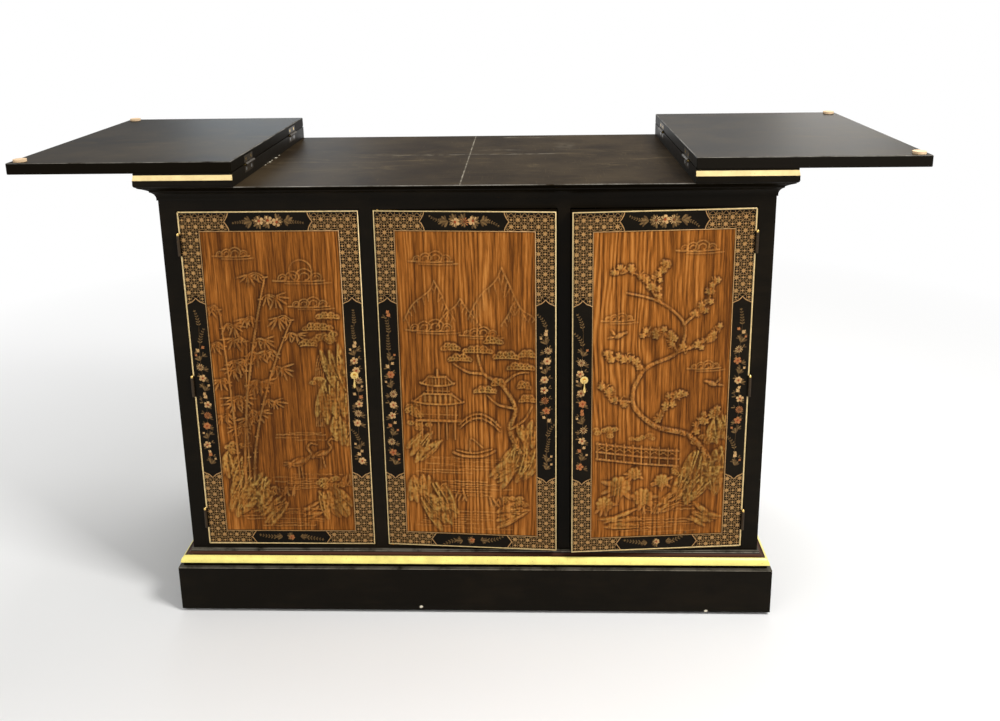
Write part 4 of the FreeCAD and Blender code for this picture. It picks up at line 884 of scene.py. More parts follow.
class Spray:
    """The flowers and leaves painted in the cartouches of one door."""

    def __init__(self, seed):
        self.chance = random.Random(seed)
        self.between = self.chance.uniform
        self.strokes = []
        self.dots = []
        self.stems = []

    def stroke(self, u, w, turn, length, width, paint):
        colour = scaled(paint, self.between(0.82, 1.08))
        self.strokes.append(((u, w), turn, length * STROKE_SIZE, width * STROKE_SIZE, colour))

    def dot(self, u, w, size, paint):
        self.dots.append(((u, w), size * STROKE_SIZE, paint))

    def petals(self, u, w, turn, count, near, length, width, paint):
        for a in around(turn, count):
            self.stroke(u + near * math.cos(a), w + near * math.sin(a), a, length, width, paint)

    def blossom(self, u, w, size, turn, petals, paint):
        self.petals(u, w, turn, petals, size * 0.06, size * 0.46, size * 0.5, paint)
        self.dot(u, w, size * 0.13, RUST)
        for a in around(turn, petals, 0.5):
            self.dot(u + size * 0.2 * math.cos(a), w + size * 0.2 * math.sin(a), size * 0.035, CREAM_GOLD)

    def daisy(self, u, w, size, turn, petals, paint):
        self.petals(u, w, turn, petals, size * 0.1, size * 0.42, size * 0.15, paint)
        self.dot(u, w, size * 0.12, BROWN)

    def bud(self, u, w, size, turn, paint):
        for tilt in (-0.5, 0.5, 0.0):
            self.stroke(u, w, turn + tilt, size * (0.7 if tilt else 0.9), size * 0.36, paint)
        self.stroke(u, w, turn + math.pi, size * 0.25, size * 0.25, OLIVE)

    def leaves(self, u, w, size, turn, count=4):
        for i in range(count):
            a = turn + (i - (count - 1) / 2) * 1.9 / count
            self.stroke(u, w, a, size * self.between(0.75, 1.0), size * 0.34, SAGE if i % 2 else OLIVE)

    def fern(self, u, w, length, turn, bend, pairs=6):
        spots = []
        a = turn
        for i in range(pairs + 1):
            spots.append((u, w))
            if i:
                leaf = length * 0.24 * (1 - 0.45 * i / pairs)
                for side in (-1, 1):
                    self.stroke(u, w, a + side * 0.85, leaf, leaf * 0.4, SAGE)
            a += bend / pairs
            u += length / pairs * math.cos(a)
            w += length / pairs * math.sin(a)
        self.stroke(*spots[-1], a, length * 0.14, length * 0.06, SAGE)
        self.stems.append(spots)

    def item(self, kind, u, w, size, turn):
        paint = self.chance.choice((CREAM, CREAM, BLUSH))
        if kind == "f":
            self.blossom(u, w, size, turn, self.chance.choice((5, 6)), paint)
        elif kind == "d":
            self.daisy(u, w, size, turn, self.chance.choice((10, 11, 12)), paint)
        elif kind == "b":
            self.bud(u, w, size, turn, paint)
        elif kind == "l":
            self.leaves(u, w, size, turn)
        else:
            self.fern(u, w, size, turn, self.between(-0.8, 0.8))

    def climb(self, middle, low, high, recipe):
        """A spray up a side cartouche: items of a recipe along a swaying stem."""
        phase = self.between(0, 6.28)
        scale = (high - low) / sum(WEIGHTS[k] for k in recipe)
        w = low
        stem = []
        for k in recipe:
            stretch = WEIGHTS[k] * scale
            spot_w = w + stretch / 2
            sway = 3.8 * math.sin(phase + spot_w / 26)
            flip = self.chance.choice((-1, 1))
            stem.append((middle + sway * 0.5, spot_w))
            for kind, aside, swayed, lift, size, lean in GROWTH.get(k, ()):
                spot = (middle + flip * aside + sway * swayed, spot_w + lift, size, UP + flip * lean)
                if kind == "b":
                    self.item(kind, *spot)
                else:
                    self.leaves(*spot, kind)
            if k in "fd":
                self.item(k, middle + sway, spot_w, min(16.5, stretch), self.between(0, 6.28))
            elif k == "s":
                self.item(k, middle + sway * 0.4, w, stretch * 0.95, UP)
            w += stretch
        self.stems.append(stem)

    def across(self, level, half, recipe, size):
        """A spray along a top or foot cartouche, out from its middle to both ends."""
        spread = 2 * half / len(recipe)
        for i, k in enumerate(recipe):
            u = DOOR_WIDE / 2 - half + spread * (i + 0.5)
            outward = 0.0 if u > DOOR_WIDE / 2 else math.pi
            sway = self.between(-0.09, 0.09) * size
            if k == "s":
                root = u - math.cos(outward) * spread * 0.8
                self.item("s", root, level + sway, spread * 1.7, outward + self.between(-0.1, 0.1))
                self.leaves(root, level - sway, size * 0.75, outward + 0.5, 3)
            elif k in "fd":
                for tilt in (-0.95, 0.95):
                    self.leaves(u, level - sway, size * 0.86, outward + tilt, 4)
                self.item(k, u, level + sway, size, self.between(0, 6.28))
            else:
                tilt = self.between(-0.4, 0.4)
                self.leaves(u, level, size * 0.8, outward - 1.5 * tilt, 4)
                self.item(k, u - math.cos(outward) * 3, level + sway, size * 0.9, outward + tilt)

    def paint(self, door):
        spots, turns, longs, wides, paints = zip(*self.strokes)
        strokes = points_mesh(spots, turn=turns, long=longs, wide=wides, paint=paints)
        spots, sizes, paints = zip(*self.dots)
        dots = points_mesh(spots, size=sizes, paint=paints)
        stems = grown(lines_mesh(self.stems), RIBBONS, Wide=0.6, Thick=0.2, Finish=SPRAY)
        store(stems, "paint", [OLIVE] * len(stems.vertices))
        layers = [
            grown(strokes, STROKES, Sides=9, Thick=0.42, Finish=SPRAY),
            grown(dots, STARS, Rays=5, Outer=1.0, Inner=1.0, Thick=0.62, Finish=SPRAY),
            stems,
        ]
        paint_on(door, "flower_sprays", layers, PAINT_LIFT)


# For each door: what grows up its two side cartouches, and along its top and foot ones.
RECIPES = {
    "left": ("lbflfdfblfdlbss", "fblsfdfbldfflbss", "slfffls", "slfls"),
    "middle": ("lfdlbffdlfblssb", "llssbfdfflfdlbs", "slfdfls", "slfls"),
    "right": ("flbfdlbfflfdlss", "lbslfdfbflfdlbs", "sldfdls", "slfls"),
}


def sprays(door):
    spray = Spray(40 + DOORS.index(door))
    first, second, top, foot = RECIPES[door]
    low, high = SIDE_CARTOUCHE[0] + ROOM_BELOW, SIDE_CARTOUCHE[1] - ROOM_ABOVE
    spray.climb(PANEL_SIDE / 2, low, high, first)
    spray.climb(DOOR_WIDE - PANEL_SIDE / 2, low, high, second)
    spray.across(DOOR_TALL - PANEL_TOP / 2, 54.0, top, 20.0)
    spray.across(PANEL_FOOT / 2 + 0.5, 50.0, foot, 14.0)
    spray.paint(door)


# The carved panels.
PANEL_WIDE = DOOR_WIDE - 2 * PANEL_SIDE
PANEL_TALL = DOOR_TALL - PANEL_TOP - PANEL_FOOT
CELL = 1.25
HIGHEST = 2.4
THINNEST = 0.9
RIM = 4.0
# All heights are raised by this at the end.
BOLD = 1.6


class Carving:
    """The relief of one panel: heights on a grid, in millimetres, and how much gold lies on them."""

    def __init__(self, seed):
        self.chance = random.Random(seed)
        self.between = self.chance.uniform
        self.field = np.random.default_rng(seed)
        self.across = int(PANEL_WIDE / CELL) + 1
        self.up = int(PANEL_TALL / CELL) + 1
        self.u = np.linspace(0.0, PANEL_WIDE, self.across)
        self.w = np.linspace(0.0, PANEL_TALL, self.up)
        self.height = np.zeros((self.up, self.across))
        self.gold = np.zeros((self.up, self.across))
        self.crags = self.cloud(9.0) * 0.6 + self.cloud(4.0) * 0.4
        self.tool = self.cloud(2.6)

    def cloud(self, size):
        """Smooth chance values from 0 to 1, with lumps of a size."""
        rows = int(PANEL_TALL / size) + 3
        columns = int(PANEL_WIDE / size) + 3
        knots = self.field.random((rows, columns))
        at_w = self.w / size
        at_u = self.u / size
        i = at_w.astype(int)
        j = at_u.astype(int)
        fw = (at_w - i)[:, None]
        fu = (at_u - j)[None, :]
        fw = fw * fw * (3 - 2 * fw)
        fu = fu * fu * (3 - 2 * fu)
        low = knots[i][:, j] * (1 - fu) + knots[i][:, j + 1] * fu
        high = knots[i + 1][:, j] * (1 - fu) + knots[i + 1][:, j + 1] * fu
        return low * (1 - fw) + high * fw

    def near(self, u, w, reach):
        """The part of the grid round a spot, and how far each of its points lies from it."""
        i0, i1 = np.searchsorted(self.w, (w - reach, w + reach))
        j0, j1 = np.searchsorted(self.u, (u - reach, u + reach))
        return (slice(i0, i1), slice(j0, j1)), self.u[None, j0:j1] - u, self.w[i0:i1, None] - w

    def lay(self, part, height, gold):
        """Puts a shape over what is there: the higher one shows."""
        old = self.height[part]
        over = height > old
        self.gold[part] = np.where(over, gold, self.gold[part])
        self.height[part] = np.maximum(old, height)

    def pad(self, u, w, long, wide, turn, height, gold=0.4, rays=0, rough=0.0):
        """A dome, as wide and long as asked, with grooves from its root and a broken face."""
        part, du, dw = self.near(u, w, max(long, wide))
        x = (du * math.cos(turn) + dw * math.sin(turn)) / long
        y = (-du * math.sin(turn) + dw * math.cos(turn)) / wide
        r = x * x + y * y
        dome = np.sqrt(np.clip(1 - r, 0, 1))
        if rays:
            dome = dome * (0.72 + 0.28 * np.cos(rays * np.arctan2(y, x + 1.05)))
        if rough:
            dome = dome * (1 - rough + rough * self.crags[part] * 1.6)
        self.lay(part, height * dome, gold)

    def ridge(self, spots, wide, height, gold=0.3, taper=0.0, rough=0.0):
        """A raised line through spots, smoothed, that may thin towards its end."""
        run = smooth_run(spots)
        count = len(run)
        for i, (u, w) in enumerate(run):
            share = 1 - taper * i / count
            width = max(THINNEST, wide * share)
            part, du, dw = self.near(u, w, width)
            dome = np.sqrt(np.clip(1 - (du * du + dw * dw) / (width * width), 0, 1))
            if rough:
                dome = dome * (1 - rough + rough * self.tool[part] * 1.5)
            self.lay(part, height * (0.55 + 0.45 * share) * dome, gold)

    def crag(self, u, w, long, wide, turn, height, gold=0.6, count=7):
        """A rock: slanting slabs side by side, each broken by the chisel, with sharp edges down it."""
        for i in range(count):
            off = (i - (count - 1) / 2) / count * 1.7 * wide
            drop = self.between(-0.25, 0.2) * long
            spot_u = u - off * math.sin(turn) + drop * math.cos(turn)
            spot_w = w + off * math.cos(turn) + drop * math.sin(turn)
            lean = turn + self.between(-0.35, 0.35)
            size = long * self.between(0.55, 0.9)
            top = height * self.between(0.55, 0.95)
            self.pad(spot_u, spot_w, size, wide * 0.3, lean, top, gold, 0, 0.75)
            reach = (size * math.cos(lean), size * math.sin(lean))
            bend = self.between(-0.16, 0.16) * size
            edge = [
                (spot_u + reach[0] * 0.9, spot_w + reach[1] * 0.9),
                (spot_u + bend, spot_w + bend * 0.6),
                (spot_u - reach[0] * 0.85, spot_w - reach[1] * 0.85),
            ]
            self.ridge(edge, 1.9, height, gold * 0.8, 0.5, 0.35)

    def hill(self, u, w, half, tall):
        """A far hill: its outline and short strokes that fall away from it."""
        height, gold = 0.9, 0.3
        peak = u + self.between(-0.25, 0.25) * half
        left = [(u - half, w), (u - half * 0.62, w + tall * 0.42), (peak - half * 0.22, w + tall * 0.74)]
        right = [(peak + half * 0.3, w + tall * 0.62), (u + half * 0.66, w + tall * 0.36), (u + half, w)]
        top = (peak, w + tall)
        for side, run in ((-1, [*left, top]), (1, [top, *right])):
            self.ridge(run, 1.6, height, gold, 0.2, 0.3)
            path = smooth_run(run)
            for k in range(1, 8):
                u0, w0 = path[int(len(path) * k / 8.2)]
                fall = tall * self.between(0.12, 0.34)
                slip = -side * half * self.between(0.02, 0.16)
                spots = [(u0, w0 - 2), (u0 + slip * 0.6, w0 - fall * 0.6), (u0 + slip, w0 - fall)]
                self.ridge(spots, 1.7, height * 0.8, gold, 0.6, 0.4)

    def arches(self, u, w, half, height=1.6, gold=0.55):
        """Needles of a pine: arches side by side over a bough, each with grooves from its root."""
        self.ridge([(u - half, w - 1), (u, w + 0.6), (u + half, w - 1)], 1.4, height * 0.9, gold)
        size = 7.0
        for row, share in enumerate((1.0, 0.62)):
            count = max(2, round(half * share * 2 / (size * 1.55)))
            for k in range(count):
                spot = u - half * share + (k + 0.5) * 2 * half * share / count
                root = w + row * size * 0.8 + self.between(-0.8, 1.2)
                tall = size * self.between(0.75, 1.05)
                middle = root + tall * 0.35
                self.pad(spot, middle, tall * 0.75, size * 0.82, UP, height * 0.85, gold, 8, 0.1)
                self.ridge(arc(spot, root, tall, 0.15, math.pi - 0.15, 7), 1.3, height, gold)

    def clump(self, u, w, wide, tall, count, size, height, gold=0.6):
        """Broad leaved foliage: small fans heaped over each other."""
        for i in range(count):
            spot_u = u + self.between(-wide, wide)
            spot_w = w + self.between(-tall, tall)
            lean = UP + self.between(-0.7, 0.7)
            top = height * self.between(0.55, 1.0)
            self.pad(spot_u, spot_w, size * 0.7, size, lean, top, gold, 9, 0.25)
            self.ridge(arc(spot_u, spot_w - size * 0.2, size * 0.85, 0.2, math.pi - 0.2, 7), 1.3, top, gold)

    def leaf(self, u, w, turn, long, height, gold=0.4, slim=14.0):
        middle = (u + math.cos(turn) * long / 2, w + math.sin(turn) * long / 2)
        self.pad(*middle, long / 2, max(1.6, long / slim), turn, height, gold)

    def sprig(self, u, w, turn, long, count, spread):
        """Slim leaves from one point, each hanging its own way."""
        for i in range(count):
            lean = turn + spread * (i / (count - 1) - 0.5) + self.between(-0.12, 0.12)
            size = long * self.between(0.65, 1.15)
            self.leaf(u, w, lean, size, 1.0 + 0.5 * self.chance.random(), slim=13.0)

    def grass(self, u, w, half, long, count):
        for i in range(count):
            lean = UP + self.between(-0.6, 0.6)
            self.leaf(u + self.between(-half, half), w, lean, long * self.between(0.6, 1.1), 1.1)

    def flower(self, u, w, size, petals, height, gold):
        for a in around(self.between(0, 6.28), petals):
            spot = (u + size * 0.3 * math.cos(a), w + size * 0.3 * math.sin(a))
            self.pad(*spot, size * 0.3, size * 0.22, a, height, gold)
        self.pad(u, w, size * 0.14, size * 0.14, 0, height * 1.2, gold)

    def water(self, u0, u1, w, rows, gap=5.0, height=0.5):
        for i in range(rows):
            level = w + i * gap + self.between(-1, 1)
            start = u0 + self.between(0, 0.4) * (u1 - u0)
            end = min(u1, start + self.between(0.25, 0.7) * (u1 - u0))
            steps = max(3, int((end - start) / 6))
            along = (start + (end - start) * k / steps for k in range(steps + 1))
            run = [(u, level + self.between(-1.0, 1.0)) for u in along]
            self.ridge(run, 1.25, height * self.between(0.6, 1.3), 0.2)

    def cloud_scroll(self, u, w, long):
        """A bank of cloud: trailing lines below, curls on top."""
        height = 0.8
        self.ridge([(u - 4, w), (u + long * 0.5, w - 2), (u + long, w)], 1.5, height, 0.35)
        low = [(u + long * 0.2, w - 5), (u + long * 0.7, w - 6), (u + long * 1.12, w - 4)]
        self.ridge(low, 1.3, height * 0.8, 0.3)
        for k, size in ((0.16, 0.1), (0.36, 0.15), (0.6, 0.19), (0.84, 0.12)):
            for r, lift in ((1.0, 1.0), (0.55, 0.8)):
                wide = long * size
                curl = [
                    (u + long * k + wide * r * q * math.cos(a), w + wide * (0.3 + r * q * math.sin(a)))
                    for a, q in ((3.3, 1.0), (2.4, 1.0), (1.5, 1.0), (0.6, 0.95), (-0.3, 0.7), (-1.3, 0.4))
                ]
                self.ridge(curl, 1.25, height * lift, 0.35)

    def bird(self, u, w, size):
        """A wading bird with a bent neck."""
        self.pad(u, w, 15 * size, 7.5 * size, 0.35, 2.1, 0.45, 6)
        neck = [(13, 5), (20, 14), (15, 25), (21, 33)]
        self.ridge([(u + x * size, w + y * size) for x, y in neck], 2.3 * size, 2.0, 0.45, 0.35)
        self.ridge([(u + 21 * size, w + 33 * size), (u + 31 * size, w + 30 * size)], 1.3, 1.6, 0.45)
        for x, y in ((-2, -30), (6, -29)):
            self.ridge([(u + x * 0.4, w - 5 * size), (u + x, w + y * size)], 1.15, 1.4, 0.4)
        self.sprig(u - 11 * size, w - 2 * size, math.pi + 0.45, 15 * size, 5, 0.9)

    def slab(self, spots, height, gold, ribs=0):
        """A flat raised plate with straight sides, ribbed across its width if asked."""
        corner = np.array(spots)
        inside = np.zeros(self.height.shape, bool)
        grid_u = self.u[None, :]
        grid_w = self.w[:, None]
        for (u0, w0), (u1, w1) in zip(corner, np.roll(corner, -1, 0)):
            if w0 == w1:
                continue
            crosses = (grid_w > w0) != (grid_w > w1)
            inside ^= crosses & (grid_u < (u1 - u0) * (grid_w - w0) / (w1 - w0) + u0)
        plate = np.where(inside, height, 0.0)
        if ribs:
            low, high = corner[:, 0].min(), corner[:, 0].max()
            phase = (grid_u - low) / (high - low) * ribs * TURN
            plate = plate * (0.68 + 0.32 * np.cos(phase))
        self.lay((slice(None), slice(None)), plate, gold)

    def roof(self, u, w, half, tall, gold=0.5):
        """A curved roof with a ridge, tiles and turned up eaves."""
        top = w + tall
        slope = [(u - half, w), (u + half, w), (u + half * 0.55, top), (u - half * 0.55, top)]
        self.slab(slope, 1.15, gold, 9)
        tips = ((-half - 5, 4), (-half * 0.6, -0.5), (0, -1.5), (half * 0.6, -0.5), (half + 5, 4))
        self.ridge([(u + x, w + y) for x, y in tips], 1.9, 1.9, gold)
        self.ridge([(u - half * 0.6, top), (u, top - 0.6), (u + half * 0.6, top)], 1.8, 1.9, gold)
        for side in (-1, 1):
            self.ridge([(u + side * half * 0.58, top), (u + side * (half + 3), w + 2)], 1.5, 1.6, gold)

    def house(self, u, w, half, tall, gold=0.45):
        """Posts, rails and a lattice of windows under a roof."""
        self.slab([(u - half, w), (u + half, w), (u + half, w + tall), (u - half, w + tall)], 0.5, gold * 0.6)
        for k in (-1.0, -0.5, 0.0, 0.5, 1.0):
            self.ridge([(u + half * k, w), (u + half * k, w + tall)], 1.2, 1.3, gold)
        for level in (0.0, 0.33):
            self.ridge([(u - half - 3, w + tall * level), (u + half + 3, w + tall * level)], 1.2, 1.3, gold)

    def finished(self):
        """Heights after the last cut, and for each spot how deep, how high and how gilded it is; the depth
        gives painted shade and the height a painted highlight in the wood's colour.
        """
        height = np.minimum(self.height, HIGHEST)
        height = height + 0.2 * (self.tool - 0.5) * (height > 0.25)
        height = 0.8 * height + 0.2 * soften(height, 1)
        near = soften(height, 3)
        wide = soften(height, 7)
        # deep feeds the painted shade in the cuts, high the painted highlight on the ridges.
        deep = np.clip((near - height) * 2.4 + (wide - height) * 0.9, 0, 1)
        high = np.clip((height - near) * 2.2 + (height - wide) * 0.5, 0, 1)
        height = height - 0.35 * np.clip(near - height, 0, 1)
        rim = np.minimum(np.minimum(self.u, self.u[::-1])[None, :], np.minimum(self.w, self.w[::-1])[:, None])
        height = height * np.clip(rim / RIM, 0, 1)
        gilded = np.clip(self.gold * (height > 0.2), 0, 1)
        return height * BOLD, deep, high, soften(gilded, 1)


def soften(field, reach):
    """Each value becomes the mean of its neighbours."""
    out = field
    for axis in (0, 1):
        pad = [(0, 0), (0, 0)]
        pad[axis] = (reach, reach)
        wide = np.pad(out, pad, mode="edge")
        count = 2 * reach + 1
        out = sum(np.take(wide, range(k, k + field.shape[axis]), axis) for k in range(count)) / count
    return out


def smooth_run(spots, step=0.9):
    """Spots close together on a smooth line through a few."""
    run = []
    last = len(spots) - 1
    for i in range(last):
        p0 = spots[max(0, i - 1)]
        p1, p2 = spots[i], spots[i + 1]
        p3 = spots[min(last, i + 2)]
        count = max(2, int(math.dist(p1, p2) / step))
        for k in range(count):
            t = k / count
            weights = (
                -0.5 * t + t * t - 0.5 * t**3,
                1 - 2.5 * t * t + 1.5 * t**3,
                0.5 * t + 2 * t * t - 1.5 * t**3,
                -0.5 * t * t + 0.5 * t**3,
            )
            run.append(tuple(sum(c * p[axis] for c, p in zip(weights, (p0, p1, p2, p3))) for axis in (0, 1)))
    run.append(spots[-1])
    return run


def carve_left():
    """Bamboo over rocks, a moon in cloud, a cliff with a fall, two wading birds and reeds."""
    c = Carving(11)
    c.ridge(arc(172, 512, 20, 0, TURN, 24), 1.4, 0.9, 0.4)
    c.cloud_scroll(126, 494, 88)
    c.cloud_scroll(22, 540, 62)
    c.cloud_scroll(150, 446, 70)
    for u0, w0, u1, w1, thick in (
        (44, 92, 108, 500, 3.2), (60, 96, 150, 420, 2.7), (34, 90, 22, 440, 2.6), (52, 94, 66, 380, 2.3),
    ):
        spots = [(u0 + (u1 - u0) * (k / 10) ** 1.7, w0 + (w1 - w0) * k / 10) for k in range(11)]
        c.ridge(spots, thick, 1.8, 0.4, 0.5)
        for u, w in spots[1:]:
            c.ridge([(u - thick - 0.8, w), (u + thick + 0.8, w + 0.6)], 1.2, 2.1, 0.5)
        for k, (u, w) in enumerate(spots[4:]):
            side = 1 if k % 2 else -1
            reach = c.between(16, 28)
            c.ridge([(u, w), (u + side * reach * 0.5, w + 9), (u + side * reach, w + 6)], 1.1, 1.3, 0.4, 0.3)
            c.sprig(u + side * reach, w + 6, -1.35 + side * 0.45, 26, 6, 2.3)
            c.sprig(u + side * reach * 0.45, w + 8, -1.5 + side * 0.3, 21, 4, 1.7)
    c.crag(228, 330, 52, 26, 1.75, 2.2, 0.7, 7)
    c.crag(216, 262, 46, 30, 1.5, 2.2, 0.7, 7)
    c.crag(232, 208, 34, 26, 1.3, 2.1, 0.65, 6)
    for k in range(5):
        u = 186 + 3.4 * k
        c.ridge([(u + 8, 352 - 4 * k), (u + 2, 320), (u, 262), (u - 3, 214)], 1.1, 0.9, 0.3, 0.2)
    c.clump(212, 388, 22, 10, 9, 9, 1.8)
    c.clump(190, 300, 12, 8, 6, 7, 1.6)
    c.arches(196, 402, 26)
    c.arches(216, 424, 20)
    c.arches(178, 372, 15)
    c.crag(48, 78, 56, 36, 1.1, 2.3, 0.75, 9)
    c.crag(24, 132, 36, 26, 1.35, 2.2, 0.7, 7)
    c.crag(92, 46, 42, 22, 0.7, 2.0, 0.6, 7)
    c.crag(206, 60, 40, 30, 2.0, 2.1, 0.65, 8)
    c.crag(164, 40, 26, 14, 0.3, 1.7, 0.5, 5)
    c.clump(30, 170, 22, 9, 9, 8, 1.7)
    c.clump(88, 84, 18, 8, 6, 7, 1.6)
    c.clump(204, 100, 26, 9, 10, 8, 1.6)
    c.grass(112, 70, 24, 26, 14)
    c.grass(232, 92, 12, 24, 8)
    c.bird(146, 142, 1.15)
    c.bird(188, 158, 0.95)
    c.water(84, 236, 84, 8, 4.6)
    c.water(96, 236, 186, 4, 5.0, 0.4)
    c.water(8, 236, 10, 8, 5.0)
    return c


def carve_middle():
    """Hills over a lake, a summer house on posts, a humped bridge, a pine and a boat at its mooring."""
    c = Carving(23)
    for u, w, half, tall in ((56, 420, 46, 74), (108, 410, 40, 52), (176, 424, 52, 96), (216, 412, 34, 50)):
        c.hill(u, w, half, tall)
    c.cloud_scroll(16, 402, 84)
    c.cloud_scroll(112, 394, 66)
    c.cloud_scroll(26, 530, 74)
    trunk = [(214, 168), (196, 214), (206, 256), (182, 300), (150, 322), (140, 356)]
    c.ridge(trunk, 5.4, 2.3, 0.5, 0.6, 0.6)
    for bough in (
        [(182, 300), (208, 322), (230, 326)],
        [(206, 256), (176, 262), (156, 280)],
        [(150, 322), (122, 324), (96, 340)],
        [(196, 214), (222, 234), (236, 260)],
    ):
        c.ridge(bough, 2.6, 2.0, 0.5, 0.5, 0.5)
    for u, w, half in (
        (140, 362, 26), (108, 346, 20), (92, 366, 16), (216, 332, 24), (190, 352, 22), (228, 356, 14),
        (152, 286, 20), (176, 300, 12), (228, 270, 15), (168, 380, 16), (222, 296, 12),
    ):
        c.arches(u, w, half, 1.7)
    c.crag(214, 150, 50, 32, 1.3, 2.3, 0.75, 9)
    c.crag(232, 204, 32, 24, 1.6, 2.1, 0.7, 6)
    c.crag(184, 128, 34, 20, 0.8, 2.0, 0.6, 6)
    for level, half, tall in ((262, 42, 19), (298, 26, 16)):
        c.roof(66, level, half, tall)
    c.house(66, 230, 32, 30)
    c.house(66, 281, 18, 16)
    c.ridge([(66, 314), (66, 327)], 2.0, 2.0, 0.5)
    for u in (36, 51, 66, 81, 96):
        c.ridge([(u, 228), (u, 192)], 1.5, 1.4, 0.35)
    c.ridge([(26, 228), (108, 228)], 2.3, 2.0, 0.45)
    c.clump(22, 244, 14, 16, 10, 8, 1.6)
    c.clump(30, 214, 18, 9, 8, 7, 1.5)
    for lift in (0, 8):
        hump = [(104, 214), (122, 230), (142, 235), (162, 226), (178, 210)]
        c.ridge([(u, w + lift) for u, w in hump], 1.6, 1.8, 0.4)
    for k in range(8):
        level = 217 + 17 * math.sin(0.35 + k * 0.36)
        c.ridge([(108 + 9 * k, level - 3), (108 + 9 * k, level + 8)], 1.1, 1.5, 0.35)
    c.ridge([(92, 166), (112, 159), (146, 160), (168, 171)], 2.5, 2.0, 0.4)
    c.ridge([(98, 170), (130, 165), (162, 174)], 1.5, 1.4, 0.35)
    c.ridge([(122, 166), (124, 194), (146, 176)], 1.2, 1.3, 0.3)
    c.crag(34, 176, 36, 24, 0.9, 2.0, 0.65, 7)
    c.crag(62, 58, 50, 30, 2.1, 2.3, 0.75, 9)
    c.crag(28, 92, 30, 24, 1.7, 2.0, 0.65, 6)
    c.crag(196, 44, 38, 20, 0.3, 1.9, 0.55, 7)
    c.clump(58, 96, 22, 9, 8, 8, 1.6)
    c.clump(206, 70, 20, 8, 8, 7, 1.5)
    c.grass(96, 66, 20, 26, 12)
    c.grass(170, 56, 14, 24, 8)
    c.water(20, 226, 124, 8, 4.6)
    c.water(60, 226, 78, 7, 4.8)
    c.water(8, 234, 10, 8, 5.0)
    return c


def carve_right():
    """A flowering tree over a terrace, garden rocks, peonies and a pair of small birds."""
    c = Carving(37)
    trunk = [
        (216, 150), (176, 200), (112, 222), (72, 270), (92, 330),
        (150, 362), (160, 414), (116, 456), (58, 474),
    ]
    c.ridge(trunk, 5.6, 2.3, 0.45, 0.72, 0.6)
    twigs = [
        [(92, 330), (58, 356), (22, 354)],
        [(150, 362), (190, 376), (224, 404)],
        [(160, 414), (196, 450), (214, 492)],
        [(116, 456), (106, 494), (134, 526)],
        [(72, 270), (40, 276), (18, 306)],
        [(112, 222), (132, 262), (164, 282)],
        [(116, 456), (80, 504), (42, 516)],
        [(176, 200), (204, 236), (232, 246)],
        [(150, 362), (128, 396), (96, 402)],
    ]
    for twig in twigs:
        c.ridge(twig, 2.5, 1.9, 0.45, 0.6, 0.6)
        run = smooth_run(twig)
        for k in range(9):
            u, w = run[int(len(run) * (0.25 + 0.74 * k / 8)) - 1]
            side = c.between(-9, 9)
            c.ridge([(u, w), (u + side * 0.5, w + side), (u + side, w + abs(side))], 1.0, 1.3, 0.4, 0.3)
            c.flower(u + side, w + c.between(-7, 9), c.between(9, 14), 5, 1.8, 0.55)
            c.sprig(u, w, c.between(0, 6.28), 10, 3, 1.2)
    c.cloud_scroll(18, 424, 54)
    c.cloud_scroll(146, 548, 70)
    c.cloud_scroll(172, 330, 56)
    c.crag(208, 138, 54, 42, 1.5, 2.4, 0.75, 10)
    c.crag(176, 92, 40, 28, 1.1, 2.2, 0.65, 8)
    c.crag(228, 212, 32, 22, 1.7, 2.1, 0.7, 7)
    c.crag(140, 66, 30, 16, 0.5, 1.9, 0.55, 6)
    c.clump(206, 190, 22, 9, 9, 8, 1.8)
    c.clump(164, 126, 16, 9, 7, 7, 1.6)
    for level in (0, 16, 30):
        c.ridge([(8, 190 - level), (84, 178 - level), (158, 170 - level)], 1.7, 1.7, 0.4)
    for k in range(10):
        u = 10 + 16 * k
        c.ridge([(u, 192 - k * 2), (u, 158 - k * 2)], 1.5, 1.6, 0.4)
        if k < 9:
            c.ridge([(u, 188 - k * 2), (u + 16, 175 - k * 2)], 1.0, 1.2, 0.3)
            c.ridge([(u + 16, 186 - k * 2), (u, 177 - k * 2)], 1.0, 1.2, 0.3)
    c.clump(26, 210, 20, 8, 8, 7, 1.4)
    c.clump(92, 200, 22, 6, 7, 6, 1.3)
    for u, w, size in ((50, 102, 38), (94, 80, 32), (24, 68, 28), (128, 112, 24), (78, 128, 22)):
        for ring, petals in ((1.0, 9), (0.68, 7), (0.36, 5)):
            c.flower(u, w, size * ring, petals, 1.4 + (1 - ring), 0.6)
        for k in range(5):
            c.leaf(u, w, c.between(2.6, 6.6), size * 0.95, 1.2, 0.45, 7.0)
    for u, w, way in ((46, 396, 1), (214, 300, -1)):
        c.pad(u, w, 9, 4.5, 0.4 * way, 2.0, 0.45)
        c.leaf(u - 6 * way, w, UP + 0.7 * way, 15, 1.6, 0.4, 6.0)
        c.leaf(u - 8 * way, w - 2, math.pi * (way > 0) + 0.2 * way, 14, 1.4, 0.4, 7.0)
        c.ridge([(u + 8 * way, w + 4), (u + 13 * way, w + 5)], 2.2, 1.8, 0.4)
    c.crag(60, 32, 44, 16, 0.1, 1.8, 0.55, 6)
    c.crag(206, 36, 34, 18, 2.7, 1.9, 0.6, 6)
    c.grass(110, 44, 22, 24, 12)
    c.water(90, 236, 52, 5, 4.6)
    c.water(8, 236, 8, 7, 4.8)
    return c


